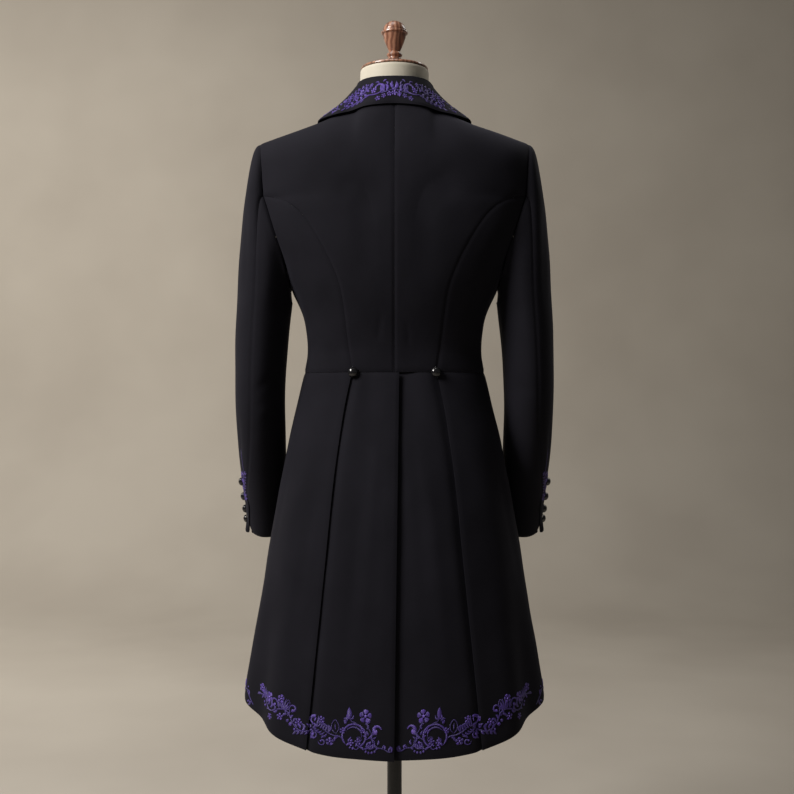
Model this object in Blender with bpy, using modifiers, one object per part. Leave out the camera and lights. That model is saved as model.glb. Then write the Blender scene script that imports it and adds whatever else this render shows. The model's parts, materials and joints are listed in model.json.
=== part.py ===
"""A Victorian tailcoat on a limbless dress form, every cut piece a solid of its own.

Metres, +Z up. The coat faces -Y and the wearer's left is +X.
The origin is the middle of the underside of the stand's base.
"""
import math

import bmesh
import bpy
import numpy as np
from mathutils import Vector
from mathutils.kdtree import KDTree

OBJECT_NAME = "victorian_tailcoat"

# Cloth
WALL = 0.0020
SEAM_GAP = 0.0003
SAME_PLACE = 0.0001       # panel points this close are one point of a seam
TIE = 0.000001            # lengths this close count as equal
LAY = 0.0035              # outer face of a layer that lies on another one
COLLAR_RISE = 0.0033      # the collar's edge stands this much higher over the shoulder
FULLNESS = 2.4            # 2 is an ellipse, more is squarer
HEIGHT_STEP = 0.004       # the cloth's slope is taken over these steps up and round
TURN_STEP = 0.7

# Levels of the coat
WAIST = 1.063
NAPE = 1.530
ROLL_START = 1.400        # above this the cloth curves over to the shoulder
BACK_ROW_TOP = 1.392      # the back's straight rows end here
HEM_AT_BACK = 0.455

# Neck and shoulder
NECK_HALF = 0.065
NECK_BACK = 0.062
SHOULDER_Y = 0.005
SHOULDER_X = 0.228

# How squarely the cloth curves over the shoulder: at the middle of the back, how much more
# towards the arm and over what width, and at the front
BACK_ROLL = 1.4
BACK_ROLL_MORE = 1.1
BACK_ROLL_WIDTH = 0.13
FRONT_ROLL = 2.0

# How far the pieces lap; each fade is measured from the edge that lies over or under
VENT_LAP_TOP = 0.008
VENT_UNDERLAP = 0.035
VENT_LIFT = 0.0030
VENT_SINK = 0.0045
VENT_FADE = (0.012, 0.046)
PLEAT_UNDERLAP = 0.020
PLEAT_SINK = 0.0038
PLEAT_BEND = (0.014, 0.001)  # the cloth goes down to the underlap between these distances
PLEAT_LIFT = 0.0012
PLEAT_FADE = (0.002, 0.035)
FRONT_LAP = 0.020
FRONT_LIFT = 0.0065
FRONT_SINK = 0.0015
FRONT_FADE = (0.040, 0.080)
BREAK_HEIGHT = 1.195
LAP_FADE = (1.235, 1.380)    # the fronts come to one level between these heights

# Numbers of steps on the shared seams
NECK_STEPS = 3
SHOULDER_STEPS = 6
PRINCESS_STEPS = 9
ARMHOLE_BACK_STEPS = 6
ARMHOLE_UNDER_STEPS = 5
ARMHOLE_FRONT_STEPS = 10
FORE_SEAM_STEP = 4
FRONT_EDGE_STEPS = 6
ROLL_ROWS = 5             # rows of the forepart above the start of the roll
CAP_STEPS = 6
SKIRT_STEPS = 11
SKIRT_BACK_COLUMNS = 5
SKIRT_SIDE_COLUMNS = 10

# Body: height, half width, back depth and front depth from the middle plane
BODY = (
    (1.530, 0.2500, 0.108, 0.050),
    (1.450, 0.2500, 0.112, 0.075),
    (1.400, 0.2480, 0.116, 0.098),
    (1.370, 0.2450, 0.118, 0.108),
    (1.300, 0.2280, 0.122, 0.121),
    (1.250, 0.2000, 0.119, 0.125),
    (1.200, 0.1760, 0.112, 0.122),
    (1.154, 0.1565, 0.101, 0.116),
    (1.103, 0.1496, 0.089, 0.109),
    (1.063, 0.1545, 0.086, 0.105),
    (1.017, 0.1650, 0.096, 0.109),
    (0.965, 0.1780, 0.111, 0.115),
    (0.900, 0.1890, 0.128, 0.121),
    (0.800, 0.2070, 0.148, 0.127),
    (0.672, 0.2280, 0.167, 0.132),
    (0.520, 0.2500, 0.184, 0.136),
    (0.440, 0.2560, 0.191, 0.138),
)

# Shoulder line: distance from the middle, height
RIDGE = ((0.000, 1.530), (0.033, 1.5265), (0.065, 1.517), (0.129, 1.486),
         (0.180, 1.4685), (0.228, 1.454), (0.260, 1.444))
FRONT_RIDGE_RISE = 0.30   # the front's ridge carries on inwards at this slope

# Hem: degrees round from the centre back, height
HEM = ((0, 0.455), (20, 0.460), (35, 0.471), (45, 0.482), (60, 0.499), (75, 0.516), (90, 0.534),
       (103, 0.572), (116, 0.633), (130, 0.722), (150, 0.872), (163, 0.975), (176, 1.063))
HEM_CORNER = 92.0
SKIRT_FRONT = 176.0

# Seams as (distance from the middle, height)
PRINCESS = ((0.070, 1.063), (0.074, 1.090), (0.078, 1.117), (0.086, 1.1845), (0.097, 1.224),
            (0.111, 1.256), (0.129, 1.2875), (0.154, 1.324), (0.184, 1.346), (0.219, 1.357))
ARMHOLE_BACK = ((0.219, 1.357), (0.221, 1.384), (0.2225, 1.405), (0.2243, 1.4225), (0.226, 1.438),
                (0.2273, 1.449), (0.228, 1.454))
ARMHOLE_UNDER = ((0.219, 1.357), (0.210, 1.330), (0.198, 1.291), (0.186, 1.255), (0.179, 1.224))
ARMHOLE_FRONT = ((0.179, 1.222), (0.1845, 1.256), (0.1915, 1.294), (0.199, 1.334), (0.207, 1.370),
                 (0.2145, 1.400), (0.2195, 1.420), (0.2237, 1.437), (0.2265, 1.449), (0.228, 1.454))
UNDERARM = (92.0, 1.203)  # degrees round, height
SIDE_SEAM_AT_WAIST = 98.0

# Pleat line from the hip button down: height, distance from the middle
PLEAT = ((1.063, 0.070), (1.050, 0.074), (0.985, 0.085), (0.890, 0.098), (0.785, 0.108),
         (0.700, 0.116), (0.600, 0.126), (0.455, 0.140))

# Soft flutes of the skirt: degrees round, spread in degrees, height they start at, rise at the hem
FLUTES = ((44, 7, 0.90, 0.0050), (60, 7, 0.86, -0.0050), (76, 8, 0.84, 0.0060),
          (94, 8, 0.82, -0.0040), (112, 9, 0.95, 0.0060), (132, 9, 1.00, -0.0040))
FLUTE_RADIUS = 0.2        # the rises are for a hem this far from the middle

# Shallow hollows beside the centre back: distance out, spread, height, spread, depth
BLADE_HOLLOW = (0.048, 0.024, 1.315, 0.075, 0.0040)

# Sleeve rings below the cap: height, out, half width, forward place, half depth, tilt in degrees,
# where the hind seam and the fore seam run, in degrees from the outer side
SLEEVE = (
    (1.180, 0.2235, 0.0470, -0.003, 0.072, 0, 78, -75),
    (1.120, 0.2280, 0.0450, -0.002, 0.069, 0, 78, -76),
    (1.060, 0.2305, 0.0430, -0.003, 0.066, 2, 77, -78),
    (1.000, 0.2315, 0.0420, -0.010, 0.062, 8, 75, -80),
    (0.950, 0.2310, 0.0415, -0.024, 0.058, 15, 68, -84),
    (0.900, 0.2300, 0.0400, -0.044, 0.054, 21, 54, -90),
    (0.850, 0.2280, 0.0385, -0.068, 0.051, 25, 34, -96),
    (0.795, 0.2260, 0.0375, -0.094, 0.048, 27, 20, -100),
)
SLEEVE_RING_STEPS = 11
CAP_BULGE = 0.24          # how squarely the sleeve head leaves the armhole
UNDERARM_BULGE = 0.018    # the same at the underarm, where sleeve and body nearly meet
CAP_LIFT = 0.36           # how much of that goes along the armhole's own radius

# Collar: fold x, y, z; stand's foot x, z; fall's edge x, z; 1 at the back and -1 at the front
COLLAR = (
    (0.0000, 0.0655, 1.5560, 0.0000, 1.5300, 0.000, 1.5020, 1),
    (0.0260, 0.0605, 1.5565, 0.0260, 1.5280, 0.045, 1.4985, 1),
    (0.0460, 0.0450, 1.5565, 0.0450, 1.5235, 0.082, 1.4906, 1),
    (0.0575, 0.0260, 1.5545, 0.0580, 1.5195, 0.108, 1.4872, 1),
    (0.0635, 0.0030, 1.5485, 0.0650, 1.5170, 0.131, 1.4850, 1),
    (0.0650, -0.0300, 1.5270, 0.0613, 1.4980, 0.131, 1.4680, -1),
    (0.0610, -0.0500, 1.4995, 0.0565, 1.4810, 0.123, 1.4530, -1),
    (0.0545, -0.0650, 1.4725, 0.0518, 1.4630, 0.108, 1.4400, -1),
    (0.0478, -0.0775, 1.4490, 0.0470, 1.4450, 0.088, 1.4290, -1),
)
COLLAR_STEPS = 14
FOOT_BACK_Y = 0.0005      # the stand's foot clears the neck seam by these amounts
FOOT_BACK_Z = 0.0008
FOOT_FRONT_Z = 0.0030
FOLD_RADIUS = 0.0025
FOLD_TURNS = (0, 60, 120, 165)
FALL_SAG = 0.0040
FALL_SAG_START = 0.06

# Lapel: part of the roll line, width across
LAPEL = ((0.235, 0.079), (0.30, 0.084), (0.45, 0.074), (0.60, 0.060), (0.75, 0.044),
         (0.88, 0.026), (0.95, 0.012))
ROLL_TOP = (0.065, 1.517)
ROLL_BREAK = (-FRONT_LAP, BREAK_HEIGHT)
GORGE_SLOPES = (0.48, 0.41)  # the lapel's first rows run down outwards like the collar's end
LAPEL_STEPS = 8
ACROSS_FALL = (0.25, 0.5, 0.75, 1.0)

# Buttons: centre heights and sizes
HIP_BUTTON = (0.068, WAIST, 0.0088)
HIP_BUTTON_LIFT = PLEAT_LIFT + 0.0006
CUFF_BUTTON_HEIGHTS = (0.8734, 0.8465, 0.8235, 0.8050)
CUFF_BUTTON_TURN = 12.0
CUFF_BUTTON_RADIUS = 0.0076
FRONT_BUTTON_HEIGHTS = (1.172, 1.130, 1.088)
FRONT_BUTTON_RADIUS = 0.0085
FRONT_BUTTON_SINK = 0.0006   # the cloth between two columns lies this much lower
BUTTON_PROFILE = ((0.72, 0.00), (1.00, 0.22), (0.96, 0.42), (0.62, 0.72), (0.0, 0.86))
BUTTON_SIDES = 10
BUTTON_SEAT = 0.0006

# Dress form and stand
FORM_CLEAR = 0.0100
RIDGE_CLEAR = 0.0032
FORM_ROLL_CLEAR = 0.002
FORM_BACK_ROLL = 1.3
FORM_BACK_ROLL_MORE = 0.8
FORM_FRONT_ROLL = 1.7
FORM_BOTTOM = 0.930
FORM_NECK_RADIUS = 0.0625
FORM_NECK_HEIGHT = 1.512
FORM_ARM = ((1.150, 0.158), (1.203, 0.164), (1.258, 0.174), (1.291, 0.183), (1.330, 0.194),
            (1.370, 0.203), (1.410, 0.209), (1.452, 0.213))
FORM_ARM_BULGE = 0.004
FORM_TURNS = (0, 9, 17, 28, 40, 54, 70, 90)
FORM_NECK_TURN = 17       # the column that runs up to the neck's side
TRUNK_LEVELS = 11
ROLL_LEVELS = 5
NECK_RADIUS = 0.0589
NECK_TOP = 1.583
CAP_TOP = 1.588
FINIAL_TOP = 1.669
POLE_RADIUS = 0.0125
BASE_RADIUS = 0.170
BASE_HEIGHT = 0.024
NECK_EDGE = 0.004
CAP_INSET = 0.0012
CAP_EDGE = 0.003
ROUND_STEPS = 32
FINIAL_STEPS = 20
POLE_STEPS = 16

# Finial: radius, distance down from its top
FINIAL = ((0.0000, 0.0000), (0.0075, 0.0014), (0.0140, 0.0050), (0.0185, 0.0105), (0.0203, 0.0160),
          (0.0198, 0.0180), (0.0228, 0.0198), (0.0228, 0.0218), (0.0200, 0.0238), (0.0190, 0.0290),
          (0.0160, 0.0380), (0.0118, 0.0480), (0.0093, 0.0530), (0.0093, 0.0545), (0.0130, 0.0570),
          (0.0135, 0.0590), (0.0125, 0.0612), (0.0105, 0.0625), (0.0105, 0.0660), (0.0135, 0.0680))
# Its foot: radius, height over the cap
FINIAL_FOOT = ((0.0150, 0.004), (0.0165, 0.002), (0.0165, 0.000), (0.0000, 0.000))

# Base: radius, distance down from its top
BASE = ((0.000, 0.000), (0.030, 0.000), (0.036, 0.006), (0.158, 0.011), (BASE_RADIUS, 0.016))


def smooth_curve(keys, values):
    """A cubic through the values that never swings past them."""
    order = np.argsort(keys)
    keys = np.array(keys, dtype=float)[order]
    values = np.array(values, dtype=float)[order]
    steps = np.diff(keys)
    rises = np.diff(values) / steps
    slopes = np.zeros(len(values))
    slopes[0] = rises[0]
    slopes[-1] = rises[-1]
    for i in range(1, len(rises)):
        if rises[i - 1] * rises[i] > 0:
            slopes[i] = 2 * rises[i - 1] * rises[i] / (rises[i - 1] + rises[i])

    def curve(at):
        at = min(max(at, keys[0]), keys[-1])
        i = min(int(np.searchsorted(keys, at, side="right")) - 1, len(steps) - 1)
        t = (at - keys[i]) / steps[i]
        start = (1 + 2 * t) * (1 - t) ** 2 * values[i] + t * (1 - t) ** 2 * steps[i] * slopes[i]
        end = t * t * (3 - 2 * t) * values[i + 1] - t * t * (1 - t) * steps[i] * slopes[i + 1]
        return start + end

    return curve


def column_curve(rows, key, value):
    """A smooth curve of one column of a table against another."""
    return smooth_curve([row[key] for row in rows], [row[value] for row in rows])


def along(points, steps):
    """Points evenly spread on a smooth curve through the given ones."""
    last = len(points) - 1
    places = range(len(points))
    curves = [smooth_curve(places, [p[k] for p in points]) for k in range(len(points[0]))]
    return [tuple(curve(last * i / steps) for curve in curves) for i in range(steps + 1)]


def blend(start, end, at):
    """0 before start, 1 after end, smooth between."""
    t = min(max((at - start) / (end - start), 0.0), 1.0)
    return t * t * (3 - 2 * t)


half_width = column_curve(BODY, 0, 1)
back_depth = column_curve(BODY, 0, 2)
front_depth = column_curve(BODY, 0, 3)
back_ridge = column_curve(RIDGE, 0, 1)
hem_height = column_curve(HEM, 0, 1)
pleat_x = column_curve(PLEAT, 0, 1)


def ridge_height(x, back):
    """Height of the shoulder line over a place, x from the middle."""
    if back or x > NECK_HALF:
        return back_ridge(x)
    return back_ridge(NECK_HALF) + (NECK_HALF - x) * FRONT_RIDGE_RISE


def ridge_y(x, back):
    """Where the shoulder line runs, round the neck at the back."""
    if back and x < NECK_HALF:
        return SHOULDER_Y + (NECK_BACK - SHOULDER_Y) * math.sqrt(1 - (x / NECK_HALF) ** 2)
    return SHOULDER_Y


def body_point(turn, height, lift=0.0):
    """A point of the cloth: degrees round from the centre back to the wearer's left, height."""
    if lift:
        return body_point(turn, height) + body_normal(turn, height) * lift
    sine = math.sin(math.radians(turn))
    cosine = math.cos(math.radians(turn))
    back = cosine >= 0
    x = math.copysign(half_width(height) * abs(sine) ** (2 / FULLNESS), sine)
    depth = back_depth(height) if back else -front_depth(height)
    y = depth * abs(cosine) ** (2 / FULLNESS)
    out = abs(x)
    if back:
        hollow_x, spread_x, hollow_z, spread_z, hollow = BLADE_HOLLOW
        across = (out - hollow_x) / spread_x
        up = (height - hollow_z) / spread_z
        y -= hollow * math.exp(-across ** 2 - up ** 2)
    ridge = ridge_height(out, back)
    rise = min(max((height - ROLL_START) / (ridge - ROLL_START), 0.0), 1.0)
    power = FRONT_ROLL
    if back:
        power = BACK_ROLL + BACK_ROLL_MORE * min(out / BACK_ROLL_WIDTH, 1.0)
    top = ridge_y(out, back)
    y = top + (y - top) * (1 - rise ** power) ** (1 / power)
    for centre, spread, start, depth in FLUTES:
        if height < start:
            amount = depth * blend(start, HEM_AT_BACK, height)
            swell = 1 + amount / FLUTE_RADIUS * math.exp(-((abs(turn) - centre) / spread) ** 2)
            x *= swell
            y *= swell
    return np.array((x, y, height))


def body_normal(turn, height):
    """The way out of the cloth, from its slope both ways."""
    up = body_point(turn, height + HEIGHT_STEP) - body_point(turn, height - HEIGHT_STEP)
    round_ = body_point(turn + TURN_STEP, height) - body_point(turn - TURN_STEP, height)
    normal = np.cross(up, round_)
    return normal / np.linalg.norm(normal)


def turn_at(x, height, back=True):
    """Degrees round from the centre back of a place x from the middle."""
    share = min(abs(x) / half_width(height), 1.0)
    turn = math.degrees(math.asin(share ** (FULLNESS / 2)))
    turn = turn if back else 180 - turn
    return turn if x >= 0 else (-turn if back else 360 - turn)


def flat_points(seam, back=True):
    """A seam table of (x, height) rows as (turn, height) rows."""
    return [(turn_at(x, height, back), height) for x, height in seam]


def coons(left, right, bottom, top, lift=None):
    """A grid of cloth points between four (turn, height) edges; rows run up, columns run round."""
    rows = len(left)
    columns = len(bottom)
    grid = np.zeros((rows, columns, 3))
    left, right, bottom, top = (np.array(edge) for edge in (left, right, bottom, top))
    for i in range(rows):
        for j in range(columns):
            v = i / (rows - 1)
            u = j / (columns - 1)
            flat = (1 - u) * left[i] + u * right[i] + (1 - v) * bottom[j] + v * top[j]
            flat -= (1 - v) * ((1 - u) * bottom[0] + u * bottom[-1])
            flat -= v * ((1 - u) * top[0] + u * top[-1])
            grid[i, j] = body_point(flat[0], flat[1], lift(flat[0], flat[1]) if lift else 0.0)
    return grid


def mirrored(grid):
    """The wearer's right-hand piece of a left-hand one."""
    return grid[:, ::-1] * np.array((-1.0, 1.0, 1.0))


# Shared seams in (turn, height)
princess = along(flat_points(PRINCESS), PRINCESS_STEPS)
armhole_back = along(flat_points(ARMHOLE_BACK), ARMHOLE_BACK_STEPS)
armhole_under = along(flat_points(ARMHOLE_UNDER) + [UNDERARM], ARMHOLE_UNDER_STEPS)
armhole_front = along([UNDERARM] + flat_points(ARMHOLE_FRONT, back=False), ARMHOLE_FRONT_STEPS)
side_seam = along([(SIDE_SEAM_AT_WAIST, WAIST), UNDERARM], PRINCESS_STEPS)


def shoulder_x(step):
    """Places of the shoulder seam's points, from the neck outwards."""
    return NECK_HALF + (SHOULDER_X - NECK_HALF) * step / SHOULDER_STEPS


def back_grid():
    """The back: centre back seam, neck and shoulder, armhole, curved side-back seam, waist."""
    centre = [(0.0, WAIST + (BACK_ROW_TOP - WAIST) * i / PRINCESS_STEPS) for i in range(PRINCESS_STEPS)]
    for i in range(ARMHOLE_BACK_STEPS + 1):
        rise = math.sin(math.pi / 2 * i / ARMHOLE_BACK_STEPS)
        centre.append((0.0, BACK_ROW_TOP + (NAPE - BACK_ROW_TOP) * rise))
    outer = princess[:-1] + armhole_back
    places = [NECK_HALF * math.sin(math.pi / 2 * i / NECK_STEPS) for i in range(NECK_STEPS)]
    places += [shoulder_x(i) for i in range(SHOULDER_STEPS + 1)]
    top = [(turn_at(x, back_ridge(x)), back_ridge(x)) for x in places]
    last = len(top) - 1
    bottom = [(turn_at(PRINCESS[0][0] * j / last, WAIST), WAIST) for j in range(last + 1)]
    return coons(centre, outer, bottom, top)


def side_body_grid():
    """The side body: curved seam, lower armhole, side seam, waist."""
    start = princess[0][0]
    bottom = [(start + (SIDE_SEAM_AT_WAIST - start) * j / ARMHOLE_UNDER_STEPS, WAIST)
              for j in range(ARMHOLE_UNDER_STEPS + 1)]
    return coons(princess, side_seam, bottom, armhole_under)


def roll_line(share):
    """(x, height) on the line where the lapel turns back, 0 at the neck, 1 at the break."""
    return (ROLL_TOP[0] + (ROLL_BREAK[0] - ROLL_TOP[0]) * share,
            ROLL_TOP[1] + (ROLL_BREAK[1] - ROLL_TOP[1]) * share)


def front_lap(x, height):
    """1 where the fronts lie over each other, 0 further out and up the chest."""
    return (1 - blend(*FRONT_FADE, x)) * (1 - blend(*LAP_FADE, height))


def forepart_grid(front_lift):
    """The forepart: side seam and armhole, shoulder, roll line and front edge, waist."""
    outer = side_seam[:-1] + armhole_front
    rows = len(outer) - 1
    chest_rows = rows - FRONT_EDGE_STEPS - ROLL_ROWS
    curl = (ROLL_TOP[1] - ROLL_START) / (ROLL_TOP[1] - BREAK_HEIGHT)
    edge = []
    for i in range(FRONT_EDGE_STEPS):
        edge.append((-FRONT_LAP, WAIST + (BREAK_HEIGHT - WAIST) * i / FRONT_EDGE_STEPS))
    edge += [roll_line(1 - (1 - curl) * i / chest_rows) for i in range(chest_rows)]
    for i in range(ROLL_ROWS + 1):
        edge.append(roll_line(curl * (1 - math.sin(math.pi / 2 * i / ROLL_ROWS))))
    front = flat_points(edge, back=False)
    shoulder = [shoulder_x(SHOULDER_STEPS - i) for i in range(SHOULDER_STEPS + 1)]
    top = [(turn_at(x, back_ridge(x), back=False), back_ridge(x)) for x in shoulder]
    # At the ridge itself front and back are one line, so the seam keeps the back's points
    bottom = [(SIDE_SEAM_AT_WAIST + (front[0][0] - SIDE_SEAM_AT_WAIST) * j / SHOULDER_STEPS, WAIST)
              for j in range(SHOULDER_STEPS + 1)]

    def lift(turn, height):
        x = body_point(turn, height)[0]
        return front_lift * front_lap(x, height)

    return coons(outer, front, bottom, top, lift)


def skirt_back_grid(vent_edge, vent_lift):
    """A back skirt: vent edge, waist, pleat line with the cloth that runs on under it, hem."""
    hem_pleat = pleat_x(HEM_AT_BACK)
    shares = [j / SKIRT_BACK_COLUMNS for j in range(SKIRT_BACK_COLUMNS + 1)]
    rows = []
    for i in range(SKIRT_STEPS + 1):
        part = i / SKIRT_STEPS
        rough = HEM_AT_BACK + (WAIST - HEM_AT_BACK) * part
        start = vent_edge(part)
        pleat = pleat_x(rough)
        bend, sunk = (pleat - distance for distance in PLEAT_BEND)
        places = [start + (bend - start) * share for share in shares]
        places += [sunk, pleat + PLEAT_UNDERLAP]
        row = []
        for x in places:
            reach = x * hem_pleat / pleat
            low = hem_height(abs(turn_at(reach, HEM_AT_BACK)))
            height = low + (WAIST - low) * part
            turn = turn_at(x, height)
            lift = vent_lift * (1 - blend(*VENT_FADE, x))
            lift -= PLEAT_SINK * blend(bend, sunk, x)
            row.append(body_point(turn, height, lift))
        rows.append(row)
    return np.array(rows)


def skirt_side_grid():
    """A side skirt: pleat fold, waist, cut-away front edge, hem."""
    low = hem_height(turn_at(pleat_x(HEM_AT_BACK), HEM_AT_BACK))
    fold = []
    for i in range(SKIRT_STEPS + 1):
        height = low + (WAIST - low) * i / SKIRT_STEPS
        fold.append((turn_at(pleat_x(height), height), height))
    edge = [(HEM_CORNER, hem_height(HEM_CORNER))] + [row for row in HEM if row[0] > HEM_CORNER]
    cutaway = along(edge, SKIRT_STEPS)
    shares = [j / SKIRT_SIDE_COLUMNS for j in range(SKIRT_SIDE_COLUMNS + 1)]
    hem_turns = [fold[0][0] + (HEM_CORNER - fold[0][0]) * share for share in shares]
    bottom = [(turn, hem_height(turn)) for turn in hem_turns]
    top = [(fold[-1][0] + (SKIRT_FRONT - fold[-1][0]) * share, WAIST) for share in shares]

    def lift(turn, height):
        past_fold = body_point(turn, height)[0] - pleat_x(height)
        return PLEAT_LIFT * (1 - blend(*PLEAT_FADE, past_fold)) if turn < HEM_CORNER else 0.0

    return coons(fold, cutaway, bottom, top, lift)


def sleeve_ring(height):
    """The measures of the sleeve at one height of its middle."""
    return [column_curve(SLEEVE, 0, k)(height) for k in range(1, 8)]


def sleeve_point(angle, height):
    """A point of the sleeve, angle in degrees from its outer side to the back."""
    out, half, forward, deep, tilt, _, _ = sleeve_ring(height)
    across = math.cos(math.radians(angle)) * half
    back = math.sin(math.radians(angle)) * deep
    lean = math.radians(tilt)
    return np.array((out + across, forward + back * math.cos(lean), height - back * math.sin(lean)))


def sleeve_grid():
    """The whole sleeve: rows run from the armhole to the cuff, columns from the shoulder backwards."""
    ring = armhole_back[::-1] + armhole_under[1:] + armhole_front[1:]
    armhole = [body_point(turn, height) for turn, height in ring]
    back = ARMHOLE_BACK_STEPS
    under = back + ARMHOLE_UNDER_STEPS
    fore = under + FORE_SEAM_STEP
    last = under + ARMHOLE_FRONT_STEPS
    hind_angle, fore_angle = SLEEVE[0][6], SLEEVE[0][7]
    marks = smooth_curve((0, back, under, fore, last), (0, hind_angle, 180, 360 + fore_angle, 360))
    at_top = [marks(k) for k in range(last + 1)]

    def angles(height):
        hind, fore_now = sleeve_ring(height)[5:]
        warp = smooth_curve((fore_angle, hind_angle, 360 + fore_angle), (fore_now, hind, 360 + fore_now))
        return [warp(angle) if angle < 360 + fore_angle else warp(angle - 360) for angle in at_top]

    top_height = SLEEVE[0][0]
    foot_height = SLEEVE[-1][0]
    middle = np.mean(armhole[:-1], axis=0)
    grid = np.zeros((CAP_STEPS + SLEEVE_RING_STEPS + 1, last + 1, 3))
    for k, angle in enumerate(at_top):
        start = armhole[k]
        end = sleeve_point(angle, top_height)
        reach = np.linalg.norm(end - start)
        radial = (start - middle) * np.array((0.0, 1.0, 1.0))
        leave = np.array((1.0, 0.0, 0.0)) + CAP_LIFT * radial / np.linalg.norm(radial)
        leave *= max(CAP_BULGE * reach, UNDERARM_BULGE) / np.linalg.norm(leave)
        arrive = (sleeve_point(angle, top_height - HEIGHT_STEP) - end) * reach / HEIGHT_STEP
        for i in range(CAP_STEPS):
            t = i / CAP_STEPS
            grid[i, k] = ((1 + 2 * t) * (1 - t) ** 2 * start + t * (1 - t) ** 2 * leave
                          + t * t * (3 - 2 * t) * end - t * t * (1 - t) * arrive)
    for i in range(SLEEVE_RING_STEPS + 1):
        height = top_height + (foot_height - top_height) * i / SLEEVE_RING_STEPS
        for k, angle in enumerate(angles(height)):
            grid[CAP_STEPS + i, k] = sleeve_point(angle, height)
    return grid, back, fore, last


def collar_grid():
    """The left half of the collar: rows run from the centre back to the gorge, columns over the fold."""
    rows = []
    for row in along(COLLAR, COLLAR_STEPS):
        fold = np.array(row[:3])
        back = row[7] > 0
        foot_height = min(row[4], ridge_height(row[3], back))
        edge_height = min(row[6], ridge_height(row[5], back))
        foot = body_point(turn_at(row[3], foot_height, back), foot_height)
        foot += np.array((0.0, FOOT_BACK_Y, FOOT_BACK_Z if back else FOOT_FRONT_Z))
        below = edge_height - HEIGHT_STEP
        edge = body_point(turn_at(row[5], edge_height, back), edge_height)
        edge += body_normal(turn_at(row[5], below, back), below) * LAY
        edge[2] += COLLAR_RISE
        out = (edge - fold) * np.array((1.0, 1.0, 0.0))
        out /= np.linalg.norm(out)
        up = np.array((0.0, 0.0, 1.0))
        middle = fold + out * FOLD_RADIUS - up * FOLD_RADIUS
        points = [foot, foot + (fold - foot) * 0.5]
        for turn in FOLD_TURNS:
            angle = math.radians(turn)
            points.append(middle + FOLD_RADIUS * (up * math.sin(angle) - out * math.cos(angle)))
        start = points[-1]
        for share in ACROSS_FALL:
            sag = FALL_SAG * 4 * share * (1 - share) * blend(0.0, FALL_SAG_START, row[0])
            points.append(start + (edge - start) * share - up * sag)
        rows.append(points)
    return np.array(rows)


def lapel_grid(front_lift):
    """The left lapel: rows run from the gorge to the break, columns from the roll line outwards."""
    width_at = column_curve(LAPEL, 0, 1)
    run = np.array(ROLL_BREAK) - np.array(ROLL_TOP)
    across = np.array((-run[1], run[0])) / np.linalg.norm(run)
    rows = []
    for i in range(LAPEL_STEPS + 1):
        part = LAPEL[0][0] + (LAPEL[-1][0] - LAPEL[0][0]) * i / LAPEL_STEPS
        at = np.array(roll_line(part))
        way = across
        if i < len(GORGE_SLOPES):
            way = np.array((1.0, -GORGE_SLOPES[i]))
            way /= np.linalg.norm(way)
        row = []
        for share in (0.0,) + ACROSS_FALL:
            x, height = at + way * width_at(part) * share
            lift = LAY + front_lift * front_lap(x, height)
            row.append(body_point(turn_at(x, height, back=False), height, lift))
        rows.append(row)
    return np.array(rows)


def cell_normals(grid):
    """An outward vector for every cell of a grid."""
    rising = grid[1:, 1:] - grid[:-1, :-1]
    falling = grid[:-1, 1:] - grid[1:, :-1]
    return np.cross(rising, falling)


def point_normals(grid):
    """Unit outward normals at the points of a grid."""
    cells = cell_normals(grid)
    normals = np.zeros_like(grid)
    for di in (0, 1):
        for dj in (0, 1):
            normals[di:di + cells.shape[0], dj:dj + cells.shape[1]] += cells
    return normals / np.maximum(np.linalg.norm(normals, axis=2, keepdims=True), 1e-12)


def joined_normals(grids):
    """Normals of all panels, shared where panels meet, so that their walls meet in one plane."""
    own = {name: point_normals(grid) for name, grid in grids.items()}
    places = KDTree(sum(grid.shape[0] * grid.shape[1] for grid in grids.values()))
    met = []
    for name, grid in grids.items():
        for place in np.ndindex(grid.shape[:2]):
            places.insert(grid[place], len(met))
            met.append((name, own[name][place]))
    places.balance()
    joined = {}
    for name, grid in grids.items():
        normals = np.zeros_like(grid)
        for place in np.ndindex(grid.shape[:2]):
            panels = dict(met[index] for _, index, _ in places.find_range(grid[place], SAME_PLACE))
            normals[place] = sum(panels.values())
        joined[name] = normals / np.linalg.norm(normals, axis=2, keepdims=True)
    return joined


def inset_shift(grid, normals):
    """How far each edge point moves in, so that neighbours stand a seam's gap apart."""
    rows, columns = grid.shape[:2]
    loop = [(0, j) for j in range(columns)]
    loop += [(i, columns - 1) for i in range(1, rows)]
    loop += [(rows - 1, j) for j in range(columns - 2, -1, -1)]
    loop += [(i, 0) for i in range(rows - 2, 0, -1)]
    shift = np.zeros_like(grid)
    count = len(loop)
    for k, place in enumerate(loop):
        before = grid[place] - grid[loop[k - 1]]
        after = grid[loop[(k + 1) % count]] - grid[place]
        sides = [np.cross(edge / np.linalg.norm(edge), normals[place]) for edge in (before, after)]
        sides = [side / np.linalg.norm(side) for side in sides]
        together = sides[0] + sides[1]
        shift[place] = together * (SEAM_GAP / 2) / max(1 + float(np.dot(*sides)), 0.25)
    return shift


def split_cell(cell, points):
    """A four-sided cell as two triangles across its shorter diagonal."""
    a, b, c, d = cell
    if np.linalg.norm(points[a] - points[c]) <= np.linalg.norm(points[b] - points[d]):
        return (a, b, c), (a, c, d)
    return (a, b, d), (b, c, d)


def from_start(outer, inner, start, end):
    """Which way a seam face is split: by its points alone, so that both neighbours split it alike."""
    first = np.linalg.norm(outer[start] - inner[end])
    second = np.linalg.norm(outer[end] - inner[start])
    if abs(first - second) > TIE:
        return first < second
    return tuple(np.round(outer[start], 5)) > tuple(np.round(outer[end], 5))


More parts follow.
